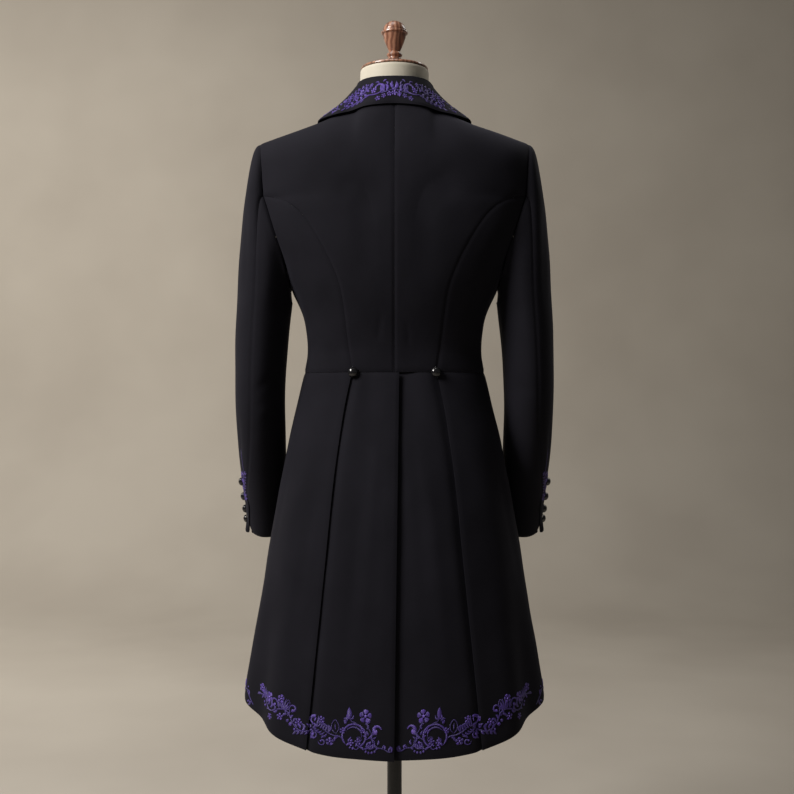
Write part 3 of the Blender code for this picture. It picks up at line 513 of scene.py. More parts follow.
def to_grid(piece):
    """Dissolve the lost sides, so the sheet has four-sided faces only."""
    lost = lost_sides(piece.data)
    bpy.context.tool_settings.mesh_select_mode = (False, True, False)
    for edge in piece.data.edges:
        edge.select = tuple(sorted(edge.vertices)) in lost
        edge.use_edge_sharp = False
    with editing(piece, everything=False):
        bpy.ops.mesh.dissolve_edges(use_verts=False, use_face_split=False)
    return piece


# %% The sides of a sheet, in order along each
CORNER_TURN = math.radians(32)


def boundary_loop(mesh):
    """The numbers of a sheet's edge points, in order round it, the first one again at the end."""
    uses = {}
    for polygon in mesh.polygons:
        for key in polygon.edge_keys:
            uses[key] = uses.get(key, 0) + 1
    linked = {}
    for (a, b), count in uses.items():
        if count == 1:
            linked.setdefault(a, []).append(b)
            linked.setdefault(b, []).append(a)
    first = min(linked)
    loop = [first, linked[first][0]]
    while loop[-1] != first:
        loop.append([v for v in linked[loop[-1]] if v != loop[-2]][0])
    return loop


def corners_of(piece):
    """The edge points where a sheet's outline turns sharply."""
    loop = boundary_loop(piece.data)[:-1]
    places = points_of(piece.data)[loop]
    before = places - np.roll(places, 1, axis=0)
    after = np.roll(places, -1, axis=0) - places
    along = np.sum(before * after, axis=1)
    lengths = np.linalg.norm(before, axis=1) * np.linalg.norm(after, axis=1)
    return {v for v, turn in zip(loop, np.arccos(np.clip(along / lengths, -1, 1))) if turn > CORNER_TURN}


def sides_of(piece, corners):
    """The outline as runs of point numbers from corner to corner."""
    loop = boundary_loop(piece.data)
    start = next(k for k, v in enumerate(loop) if v in corners)
    loop = loop[start:-1] + loop[:start + 1]
    cuts = [k for k, v in enumerate(loop) if v in corners]
    return [loop[begin:end + 1] for begin, end in zip(cuts, cuts[1:])]


# %% [markdown]
# A subdivision surface pulls its cage inwards where it bends, which would make the coat smaller
# than its solids. So the cage is first moved out by what the smooth surface loses, and the
# finished cloth then passes through the solid's own points.

# %% Smooth the sheet through its own points
CLOTH_LEVELS = 3
CAGE_ROUNDS = 3            # how often the cage is moved out


def smooth_sheet(piece, corners):
    """Subdivide a sheet so that the smooth surface passes through the cage's points."""
    bpy.context.tool_settings.mesh_select_mode = (True, False, False)
    for vertex in piece.data.vertices:
        vertex.select = vertex.index in corners
    with editing(piece, everything=False):
        bpy.ops.transform.vert_crease(value=1.0)
    target = points_of(piece.data)
    surface = piece.modifiers.new("smooth", "SUBSURF")
    surface.levels = 1
    surface.render_levels = 1
    surface.boundary_smooth = "PRESERVE_CORNERS"
    for _ in range(CAGE_ROUNDS):
        bpy.context.view_layer.update()
        shown = piece.evaluated_get(bpy.context.evaluated_depsgraph_get())
        lost = target - points_of(shown.data)[:len(target)]
        set_points(piece.data, points_of(piece.data) + lost)
    surface.levels = CLOTH_LEVELS
    surface.render_levels = CLOTH_LEVELS
    apply_all(piece)


# %% [markdown]
# Creases are put in one by one, as a dresser would see them: each is a line on the cloth with a width and a
# depth, deep in its middle and gone at its ends. Body creases are placed by degrees round from the
# centre back and by height, sleeve creases by degrees round the arm. No two have the same length, width
# and depth.

# %% Tables of creases
# panel, degrees and height at its start, degrees and height at its end, half width, rise or sink
BODY_CREASES = (
    ("skirt_side_left", 57, 0.985, 63, 0.640, 0.016, 0.0022),
    ("skirt_side_left", 48, 0.930, 51, 0.560, 0.010, -0.0012),
    ("skirt_side_left", 72, 0.960, 74, 0.700, 0.014, -0.0018),
    ("skirt_side_left", 88, 0.980, 90, 0.610, 0.018, 0.0022),
    ("skirt_side_left", 106, 1.010, 108, 0.700, 0.015, -0.0020),
    ("skirt_side_left", 124, 1.020, 120, 0.800, 0.016, 0.0018),
    ("skirt_side_right", -55, 0.970, -62, 0.600, 0.018, 0.0016),
    ("skirt_side_right", -70, 0.950, -73, 0.660, 0.013, -0.0020),
    ("skirt_side_right", -86, 0.990, -89, 0.640, 0.019, 0.0025),
    ("skirt_side_right", -104, 1.000, -109, 0.720, 0.014, -0.0016),
    ("skirt_side_right", -126, 1.015, -121, 0.830, 0.017, 0.0020),
    ("skirt_back_left", 13, 1.000, 16, 0.560, 0.013, 0.0012),
    ("skirt_back_left", 22, 0.900, 24, 0.520, 0.011, -0.0010),
    ("skirt_back_right", -15, 0.990, -17, 0.600, 0.012, -0.0014),
    ("skirt_back_right", -23, 0.930, -26, 0.520, 0.011, 0.0012),
    ("back_left", 18, 1.110, 10, 1.165, 0.010, -0.0007),
    ("back_left", 30, 1.390, 40, 1.330, 0.016, -0.0012),
    ("back_right", -17, 1.105, -9, 1.150, 0.009, -0.0006),
    ("back_right", -31, 1.400, -42, 1.335, 0.018, -0.0014),
    ("side_body_left", 62, 1.120, 84, 1.090, 0.009, -0.0009),
    ("side_body_left", 66, 1.170, 90, 1.185, 0.010, 0.0008),
    ("side_body_right", -60, 1.115, -86, 1.084, 0.009, -0.0010),
    ("side_body_right", -70, 1.160, -90, 1.176, 0.011, 0.0007),
    ("forepart_left", 150, 1.110, 118, 1.085, 0.009, -0.0012),
    ("forepart_left", 158, 1.155, 120, 1.150, 0.011, -0.0010),
    ("forepart_left", 138, 1.330, 122, 1.270, 0.014, -0.0018),
    ("forepart_left", 132, 1.370, 116, 1.330, 0.011, 0.0010),
    ("forepart_right", -148, 1.105, -116, 1.090, 0.010, -0.0010),
    ("forepart_right", -156, 1.145, -122, 1.160, 0.010, -0.0012),
    ("forepart_right", -136, 1.340, -121, 1.280, 0.015, -0.0015),
)
# side, then as above, with degrees from the sleeve's outer side to the back
SLEEVE_CREASES = (
    ("left", 62, 1.370, 70, 1.190, 0.009, -0.0012),
    ("left", 100, 1.320, 96, 1.150, 0.010, 0.0012),
    ("left", 130, 1.060, 60, 1.020, 0.008, -0.0013),
    ("left", 140, 1.015, 75, 0.985, 0.008, 0.0010),
    ("left", -150, 1.035, -80, 1.050, 0.009, -0.0028),
    ("left", -155, 1.000, -72, 1.005, 0.008, -0.0024),
    ("left", -140, 1.085, -88, 1.098, 0.008, -0.0016),
    ("left", -60, 1.400, -75, 1.250, 0.011, -0.0016),
    ("left", 25, 1.410, 20, 1.180, 0.012, 0.0010),
    ("left", 48, 1.000, 44, 0.900, 0.008, -0.0010),
    ("right", 58, 1.360, 66, 1.160, 0.010, -0.0014),
    ("right", 96, 1.300, 92, 1.120, 0.011, 0.0012),
    ("right", 126, 1.050, 62, 1.015, 0.009, -0.0012),
    ("right", -148, 1.040, -84, 1.060, 0.009, -0.0026),
    ("right", -152, 1.003, -76, 0.996, 0.008, -0.0022),
    ("right", -64, 1.390, -78, 1.240, 0.012, -0.0014),
    ("right", 22, 1.400, 17, 1.200, 0.011, 0.0011),
    ("right", 46, 0.990, 40, 0.890, 0.009, -0.0011),
)
# Middle line of the sleeves: height, distance out, distance back, degrees of lean
SLEEVE_LINE = np.array((
    (1.420, 0.225, 0.004, 0), (1.180, 0.2235, -0.003, 0), (1.060, 0.2305, -0.003, 2),
    (1.000, 0.2315, -0.010, 8), (0.950, 0.2310, -0.024, 15), (0.900, 0.2300, -0.044, 21),
    (0.850, 0.2280, -0.068, 25), (0.795, 0.2260, -0.094, 27)))[::-1]
BODY_REACH = 0.17          # metres from the middle of the body or of the arm to the cloth
SLEEVE_REACH = 0.055
DEEP_FROM, DEEP_TO = 0.35, 0.60      # of its length, where a crease has its whole depth


# %% Where a point lies round the body or round a sleeve
def place_of(points, node):
    """Degrees from the centre back or the sleeve's outer side, height, and the reach of that round."""
    if "sleeve" not in node:
        return np.degrees(np.arctan2(points[:, 0], points[:, 1])), points[:, 2], BODY_REACH
    height = points[:, 2].copy()
    for _ in range(4):
        out, back, lean = read_at(height, SLEEVE_LINE[:, 0], SLEEVE_LINE[:, 1:]).T
        height = points[:, 2] + (points[:, 1] - back) * np.tan(np.radians(lean))
    out, back, lean = read_at(height, SLEEVE_LINE[:, 0], SLEEVE_LINE[:, 1:]).T
    turn = np.degrees(np.arctan2(points[:, 1] - back, np.abs(points[:, 0]) - out))
    return turn, points[:, 2], SLEEVE_REACH


def crease_lift(turn, height, reach, creases):
    """How far each point moves out for a list of creases."""
    lift = np.zeros(len(turn))
    for start_turn, start_height, end_turn, end_height, width, rise in creases:
        ahead = np.array((math.radians(end_turn - start_turn) * reach, end_height - start_height))
        length = np.linalg.norm(ahead)
        off_turn = np.radians((turn - start_turn + 180) % 360 - 180) * reach
        off_height = height - start_height
        share = (off_turn * ahead[0] + off_height * ahead[1]) / length ** 2
        aside = (off_turn * ahead[1] - off_height * ahead[0]) / length
        fade = ease(0.0, DEEP_FROM, share) * (1 - ease(DEEP_TO, 1.0, share))
        lift += rise * fade * np.exp(-(aside / width) ** 2)
    return lift


# %% [markdown]
# Where two panels are sewn, the cloth turns down into the seam. The last few millimetres at each
# edge therefore sink a little, which draws the seam as a fine shadow. A soft unevenness lies over
# all of it, as in wool that has hung for a while.

# %% The whole way from a solid to a piece of cloth
SHARP = 40                 # degrees
CLOTH_THICKNESS = 0.0015
SEAM_SINK = 0.0011
SEAM_REACH = 0.0030
SAG = 0.0004               # how uneven the cloth hangs
EVEN_EDGE = 0.025          # and how far in from its edge it starts

cloth = {}                 # finished pieces
sheets = {}                # their outer sides' points, normals and edges, for what is sewn on


def from_edge(piece):
    """How far each point of a sheet lies from its outline."""
    points = points_of(piece.data)
    edge = points[boundary_loop(piece.data)]
    return np.array([np.min(np.linalg.norm(edge - point, axis=1)) for point in points])


def push_out(piece, lift):
    """Move each point of a sheet along its normal."""
    normals = points_of(piece.data, "normal")
    set_points(piece.data, points_of(piece.data) + normals * lift[:, None])


def hang(piece, node):
    """Move a sheet's points for its creases and its unevenness, then sink its edges into their seams."""
    points = points_of(piece.data)
    turn, height, reach = place_of(points, node)
    if "sleeve" in node:
        rows = [row[1:] for row in SLEEVE_CREASES if node.endswith(row[0])]
    else:
        rows = [row[1:] for row in BODY_CREASES if row[0] == node]
    x, y, z = points.T
    uneven = np.sin(x * 61 + z * 23) * np.sin(z * 37 - y * 29 + 1.3)
    inside = ease(0.0, EVEN_EDGE, from_edge(piece))
    push_out(piece, (crease_lift(turn, height, reach, rows) + SAG * uneven) * inside)
    push_out(piece, -SEAM_SINK * np.exp(-(from_edge(piece) / SEAM_REACH) ** 2))


def map_cloth(piece, node):
    """A map in metres: round the body or the arm across, height up, so the grain hangs straight."""
    turn, height, reach = place_of(points_of(piece.data), node)
    across = np.radians(turn) * reach
    half_round = math.pi * reach
    if not piece.data.uv_layers:
        piece.data.uv_layers.new(name="grain")
    layer = piece.data.uv_layers[0]
    layer.name = "grain"
    for polygon in piece.data.polygons:
        own = [across[v] for v in polygon.vertices]
        for loop, value in zip(polygon.loop_indices, own):
            if value - min(own) > half_round:
                value -= 2 * half_round
            layer.data[loop].uv = (value, height[piece.data.loops[loop].vertex_index])


def thicken(piece):
    """Give an open sheet its thickness, inwards."""
    wall = piece.modifiers.new("thickness", "SOLIDIFY")
    wall.thickness = CLOTH_THICKNESS
    wall.offset = -1
    wall.use_even_offset = False
    wall.use_rim = True
    apply_all(piece)
    soften(piece, SHARP)


def sheet_tree(nodes, state="points"):
    """One searchable surface from the outer sides of several panels."""
    points, faces = [], []
    for node in nodes:
        faces += [tuple(v + len(points) for v in face) for face in sheets[node]["faces"]]
        points += [Vector(point) for point in sheets[node][state]]
    return BVHTree.FromPolygons(points, faces)


def tree_of(piece):
    """A searchable surface of one piece."""
    return BVHTree.FromPolygons([vertex.co.copy() for vertex in piece.data.vertices],
                                [tuple(polygon.vertices) for polygon in piece.data.polygons])


# %% [markdown]
# A button is sewn tight to the cloth, so the cloth is drawn up to it. Each solid button gives a
# seat: the middle of its base, the way it faces, its radius and its height. Cloth within the
# button's reach moves to the seat, and the move fades out around it.

# %% The buttons' seats, and the cloth drawn up to them
BUTTON_FLAT = 0.0070       # the cloth is flat this far round a button's middle
BUTTON_DRAW = 0.0185       # and drawn up to it this far
SEAT_ABOVE = 0.008         # the cloth is looked for from here over the seat
SEAT_REACH = 0.020         # over this length, and no cloth moves further off


def button_seat(node):
    """A solid button's base middle, its outward axis, its radius and its height."""
    mesh = solids[node].data
    areas = {}
    for polygon in mesh.polygons:
        key = tuple(round(value, 2) for value in polygon.normal)
        areas.setdefault(key, []).append(polygon)
    base = max(areas.values(), key=lambda group: sum(polygon.area for polygon in group))
    axis = -sum((polygon.normal * polygon.area for polygon in base), Vector()).normalized()
    points = [Vector(vertex.co) for vertex in mesh.vertices]
    low = min(point.dot(axis) for point in points)
    middle = sum(points, Vector()) / len(points)
    middle += axis * (low - middle.dot(axis))
    radius = max(((point - middle) - axis * (point - middle).dot(axis)).length for point in points)
    return middle, axis, radius, max(point.dot(axis) for point in points) - low


seats = {node: button_seat(node) for node in solids if "button" in node}


def draw_up(piece, targets):
    """Move the cloth near each (middle, axis) seat onto the seat's plane."""
    tree = tree_of(piece)
    points = points_of(piece.data)
    shift = np.zeros_like(points)
    for middle, axis in targets:
        hit = tree.ray_cast(middle + axis * SEAT_ABOVE, -axis, SEAT_REACH)[0]
        if hit is None:
            continue
        line = np.array(axis)
        aside = points - np.array(middle)
        along = aside @ line
        off = np.linalg.norm(aside - along[:, None] * line, axis=1)
        pull = (middle - hit).dot(axis) * (1 - ease(BUTTON_FLAT, BUTTON_DRAW, off))
        pull *= np.abs(along) < SEAT_REACH
        stronger = np.abs(pull) > np.linalg.norm(shift, axis=1)
        shift[stronger] = pull[stronger][:, None] * line
    set_points(piece.data, points + shift)


# %% [markdown]
# The cuff is open at the hind seam for a hand's breadth. The upper sleeve's edge laps back over
# the under sleeve there and ends in a small tab below the last button, and the under sleeve's
# corner is cut round and stands a little away from the tab, which leaves a notch.

# %% The cuff vent
CUFF_BELOW = 0.84          # both corners of the cuff edge are lower than this
LAP = 0.0115               # how far the upper sleeve laps over
LAP_HEIGHT = (0.055, 0.085)
LAP_REACH = 0.030
LAP_AROUND = 0.12          # nothing further than this from the corner moves
LAP_GAP = 0.0004           # between the two cloths
NOTCH = 0.0165             # how far the under sleeve's corner is cut back
NOTCH_HEIGHT = 0.026
NOTCH_REACH = 0.024
NOTCH_AROUND = 0.045
CORNER_ROUND = 0.0060
CORNER_REACH = 0.012
TAB_DROP = 0.0040          # how far the rounded tab hangs below the cuff edge
TAB_OUT = 0.0055
TAB_MIDDLE = 0.0010        # the tab's middle, past the seam line
TAB_HALF = 0.0108
TAB_HEIGHT = 0.020
WAY_STEP = 0.010           # the two ways from the corner are taken over this length

vents = {}                 # by side: the under sleeve's hind corner, the way up and the way back


def vent_frame(points, sides):
    """The under sleeve's hind corner at the cuff, the way up the seam and the way to the back."""
    runs = [np.array(run) for run in sides]
    corners = {run[0] for run in runs} | {run[-1] for run in runs}
    low = [v for v in corners if points[v, 2] < CUFF_BELOW]
    corner = max(low, key=lambda v: abs(points[v, 0]))
    ways = []
    for run in runs:
        if corner in (run[0], run[-1]):
            places = points[run if run[0] == corner else run[::-1]]
            reach = np.linalg.norm(places - places[0], axis=1)
            way = places[np.argmax(reach > WAY_STEP)] - places[0]
            ways.append(way / np.linalg.norm(way))
    ways.sort(key=lambda way: way[2])
    return points[corner], ways[-1], ways[0]


def lap_over(point, up_by, back_by, back, under):
    """Where a point of the upper sleeve goes: back over the under sleeve, and out into the tab."""
    weight = (1 - ease(*LAP_HEIGHT, up_by)) * (1 - ease(0, LAP_REACH, -back_by))
    if weight <= 0:
        return point
    place = Vector(point + back * LAP * weight)
    hit, normal, _, _ = under.find_nearest(place)
    outward = normal if normal.x * place.x > 0 else -normal
    past = back_by + LAP * weight
    tab = math.sqrt(max(0.0, 1 - ((past - TAB_MIDDLE) / TAB_HALF) ** 2)) * (1 - ease(0, TAB_HEIGHT, up_by))
    return ((hit if past > 0 else place) + outward * (CLOTH_THICKNESS + LAP_GAP) * weight
            + Vector((math.copysign(TAB_OUT, place.x), 0, -TAB_DROP)) * tab)


def cut_back(point, up_by, back_by, up, back, under):
    """Where a point of the under sleeve goes: along its own cloth, away from the tab."""
    weight = float(np.clip(1 - up_by / NOTCH_HEIGHT, 0, 1) * (1 - ease(0, NOTCH_REACH, back_by)))
    near = np.clip((1 - up_by / CORNER_REACH, 1 - back_by / CORNER_REACH), 0, 1)
    lift = CORNER_ROUND * float(np.prod(near))
    if weight <= 0 and lift <= 0:
        return point
    return under.find_nearest(Vector(point + back * NOTCH * weight + up * lift))[0]


def open_vent(piece, side, upper, sides):
    """Lap the upper sleeve over the under sleeve at the cuff, or cut the under sleeve's corner back."""
    points = points_of(piece.data)
    if upper:
        under = sheet_tree([f"under_sleeve_{side}"], "uncut")
    else:
        under = tree_of(piece)
        vents[side] = vent_frame(points, sides)
    corner, up, back = vents[side]
    moved = points.copy()
    rel = points - corner
    up_by, back_by = rel @ up, rel @ back
    for k in np.where(np.linalg.norm(rel, axis=1) < (LAP_AROUND if upper else NOTCH_AROUND))[0]:
        if upper:
            moved[k] = lap_over(points[k], up_by[k], back_by[k], back, under)
        else:
            moved[k] = cut_back(points[k], up_by[k], back_by[k], up, back, under)
    set_points(piece.data, moved)


# %% Cut and hang every panel
PANELS = ("back", "side_body", "forepart", "skirt_back", "skirt_side", "under_sleeve", "top_sleeve",
          "lapel")
panel_nodes = [f"{panel}_{side}" for panel in PANELS for side in ("left", "right")] + ["collar"]

for node in panel_nodes:
    piece = to_grid(outer_sheet(node, f"cloth_{node}"))
    corners = corners_of(piece)
    smooth_sheet(piece, corners)
    hang(piece, node)
    uncut = points_of(piece.data)
    sides = sides_of(piece, corners)
    side = node.rsplit("_", 1)[-1]
    drawn_to = [button for button in seats if "cuff" not in button]
    if "sleeve" in node:
        upper = "top" in node
        open_vent(piece, side, upper, sides)
        drawn_to = [f"cuff_button_{side}_{k}" for k in (1, 2, 3, 4)] if upper else []
    draw_up(piece, [seats[button][:2] for button in drawn_to])
    map_cloth(piece, node)
    sheets[node] = {"points": points_of(piece.data), "normals": points_of(piece.data, "normal"),
                    "sides": sides, "uncut": uncut,
                    "faces": [tuple(polygon.vertices) for polygon in piece.data.polygons],
                    "area": sum(polygon.area for polygon in piece.data.polygons)}
    thicken(piece)
    dress(piece, wool, "wool", node)
    cloth[node] = piece
    lengths = [round(float(lengths_along(sheets[node]["points"][run])[-1]), 4) for run in sides]
    print(node, "sides", lengths, "area", round(sheets[node]["area"], 4), "triangles", triangles(piece))

# %% [markdown]
# The purple scrolls are satin stitch: threads laid side by side across a shape over a soft
# padding, so each leaf or stem stands up from the cloth like a small cushion. One such patch is
# modelled from a grid, arched in its middle and pinched at its ends. Copies of it are then bent
# along leaves, petals and stems, and laid on the cloth.

# %% One satin patch, made once in a short and a long form
PATCH_ACROSS = 4
LINE_POINTS = 60           # along the middle line of a shape


def satin_patch(steps):
    """A patch from -1 to 1 along and across, raised to 1 in the middle: its points and its faces."""
    deselect()
    bpy.ops.mesh.primitive_grid_add(x_subdivisions=steps, y_subdivisions=PATCH_ACROSS, size=2)
    patch = bpy.context.object
    points = points_of(patch.data)
    across = points[:, 1]
    points[:, 1] = np.sign(across) * np.abs(across) ** 0.8
    points[:, 2] = np.sqrt(np.maximum(1 - points[:, 1] ** 2, 0.0))
    faces = [tuple(polygon.vertices) for polygon in patch.data.polygons]
    bpy.data.objects.remove(patch)
    return points, faces


SHORT_PATCH = satin_patch(8)
LONG_PATCH = satin_patch(26)
print("patch faces:", len(SHORT_PATCH[1]), len(LONG_PATCH[1]))


# %% Shapes of the work, in millimetres on flat cloth
def curve_through(points, count):
    """Points spread evenly on a smooth curve through the given ones, and its length."""
    points = np.array(points, dtype=float)
    ahead = np.vstack((2 * points[0] - points[1], points, 2 * points[-1] - points[-2]))
    fine = []
    for k in range(len(points) - 1):
        a, b, c, d = ahead[k:k + 4]
        for t in np.linspace(0, 1, 12, endpoint=False):
            fine.append(0.5 * (2 * b + (c - a) * t + (2 * a - 5 * b + 4 * c - d) * t ** 2
                               + (3 * b - a - 3 * c + d) * t ** 3))
    fine = np.array(fine + [points[-1]])
    length = lengths_along(fine)
    return read_at(np.linspace(0, length[-1], count), length, fine), length[-1]


def satin(points, width, shape="leaf", tone=0.5, raised=0.8, fuller=1.15):
    """One raised shape: its middle line, its full width, how the width runs, and its shade."""
    long = len(points) > 3 or shape in ("stem", "taper")
    patch, faces = LONG_PATCH if long else SHORT_PATCH
    line, length = curve_through(points, LINE_POINTS)
    share = (patch[:, 0] + 1) / 2
    known = np.linspace(0, 1, LINE_POINTS)
    ahead = unit(read_at(share, known, unit(np.gradient(line, axis=0))))
    aside = np.stack((-ahead[:, 1], ahead[:, 0]), axis=1)
    profile = {"leaf": np.sin(math.pi * share ** 0.85) ** 0.75,
               "petal": np.sin(math.pi * share ** 1.7) ** 0.6,
               "dot": np.sqrt(np.maximum(1 - (2 * share - 1) ** 2, 0.0)),
               "stem": np.minimum(np.minimum(share, 1 - share) * 12 + 0.15, 1.0),
               "taper": (0.25 + 0.75 * share) * np.minimum((1 - share) * 14 + 0.15, 1.0)}[shape]
    half = 0.5 * width * fuller * np.maximum(profile, 0.04)
    return {"flat": read_at(share, known, line) + aside * (patch[:, 1] * half)[:, None],
            "lift": patch[:, 2] * raised * np.minimum(half / 0.9, 1.0),
            "faces": faces, "tone": tone,
            "map": np.stack((share * length, patch[:, 1] * half), axis=1)}


def changed(shapes, **rules):
    """The same shapes, with some of their values made anew from the old ones."""
    return [{**shape, **{key: rule(shape[key]) for key, rule in rules.items()}} for shape in shapes]


def turned_by(points, angle, place=(0.0, 0.0), size=1.0):
    """Points turned by degrees, sized and moved."""
    turn = math.radians(angle)
    spin = np.array(((math.cos(turn), -math.sin(turn)), (math.sin(turn), math.cos(turn))))
    return np.array(points, dtype=float) @ spin.T * size + np.array(place)


def arc(s, h, wide, high, *degrees):
    """Points on an oval round (s, h), at range(*degrees)."""
    return [(s + wide * math.cos(math.radians(a)), h + high * math.sin(math.radians(a)))
            for a in range(*degrees)]


def leaf(s, h, angle, length, width, bend=0.15, tone=0.5):
    """A pointed leaf that grows from (s, h) at an angle, a little bent."""
    line = [(0, 0), (0.5, bend), (1.0, 0.0)]
    return [satin(turned_by(line, angle, (s, h), length), width, "leaf", tone)]


def flower(s, h, radius, petals=5, turn=0.0, tone=0.6):
    """Round petals about a raised eye, narrower where the flower is small."""
    made = []
    petal = (3.9 if radius > 6 else 3.3) / petals
    for k in range(petals):
        line = turned_by([(0.22, 0), (1.0, 0)], turn + 360 * k / petals, (s, h), radius)
        made.append(satin(line, radius * petal, "petal", tone + 0.16 * (k % 2), 0.8, 1.0))
    made.append(satin([(s - radius * 0.2, h), (s + radius * 0.2, h)], radius * 0.4, "dot", 0.95, 1.1))
    return made


def berry(s, h, radius, tone=0.7):
    """A small round knot."""
    return [satin([(s - radius, h), (s + radius, h)], 2 * radius, "dot", tone, 1.0)]


def curl(s, h, radius, start, turns, width, tone=0.5, inner=0.25):
    """A spiral that winds in from its outer end, thick at its heart."""
    line = []
    for k in range(9):
        share = k / 8
        reach = radius * (1 - (1 - inner) * share)
        angle = math.radians(start + 360 * turns * share)
        line.append((s + reach * math.cos(angle), h + reach * math.sin(angle)))
    return [satin(line, width, "taper", tone)] + berry(*line[-1], width * 0.62, tone + 0.2)


def stem(points, width=1.5, tone=0.4):
    """A long even stem."""
    return [satin(points, width, "stem", tone)]


def loop(s, h, angle, length, width, thick=1.1, tone=0.55):
    """An open leaf: only its outline is worked, with one bar in its middle."""
    ring = [(0, 0), (0.3, 0.5), (0.7, 0.48), (1.0, 0.0), (0.7, -0.48), (0.3, -0.5), (0, 0)]
    ring = [(x * length, y * width) for x, y in ring]
    bar = [(0.25 * length, 0), (0.75 * length, 0)]
    return [satin(turned_by(ring, angle, (s, h)), thick, "stem", tone),
            satin(turned_by(bar, angle, (s, h)), thick, "leaf", tone + 0.2)]


def spray(s, h, angle, count, length, spread, width=2.0, tone=0.5):
    """Leaves that fan out from one point, shorter to the sides."""
    made = []
    for k in range(count):
        off = (k / (count - 1) - 0.5) if count > 1 else 0.0
        reach = length * (1 - 0.55 * abs(off))
        made += leaf(s, h, angle + off * spread, reach, width, 0.3 * off, tone + 0.1 * (k % 2))
    return made


# %% [markdown]
# The hem border is drawn once for one tail, in millimetres along the hem from the centre back and
# above it, and turned over for the other tail. It has the parts that such scroll borders share:
# a ring scroll with flowers inside it, a bud, an open flower, comma leaves, sprays and berries.
# It is a free arrangement of them, dense at the back and lighter up the cut-away front edge.

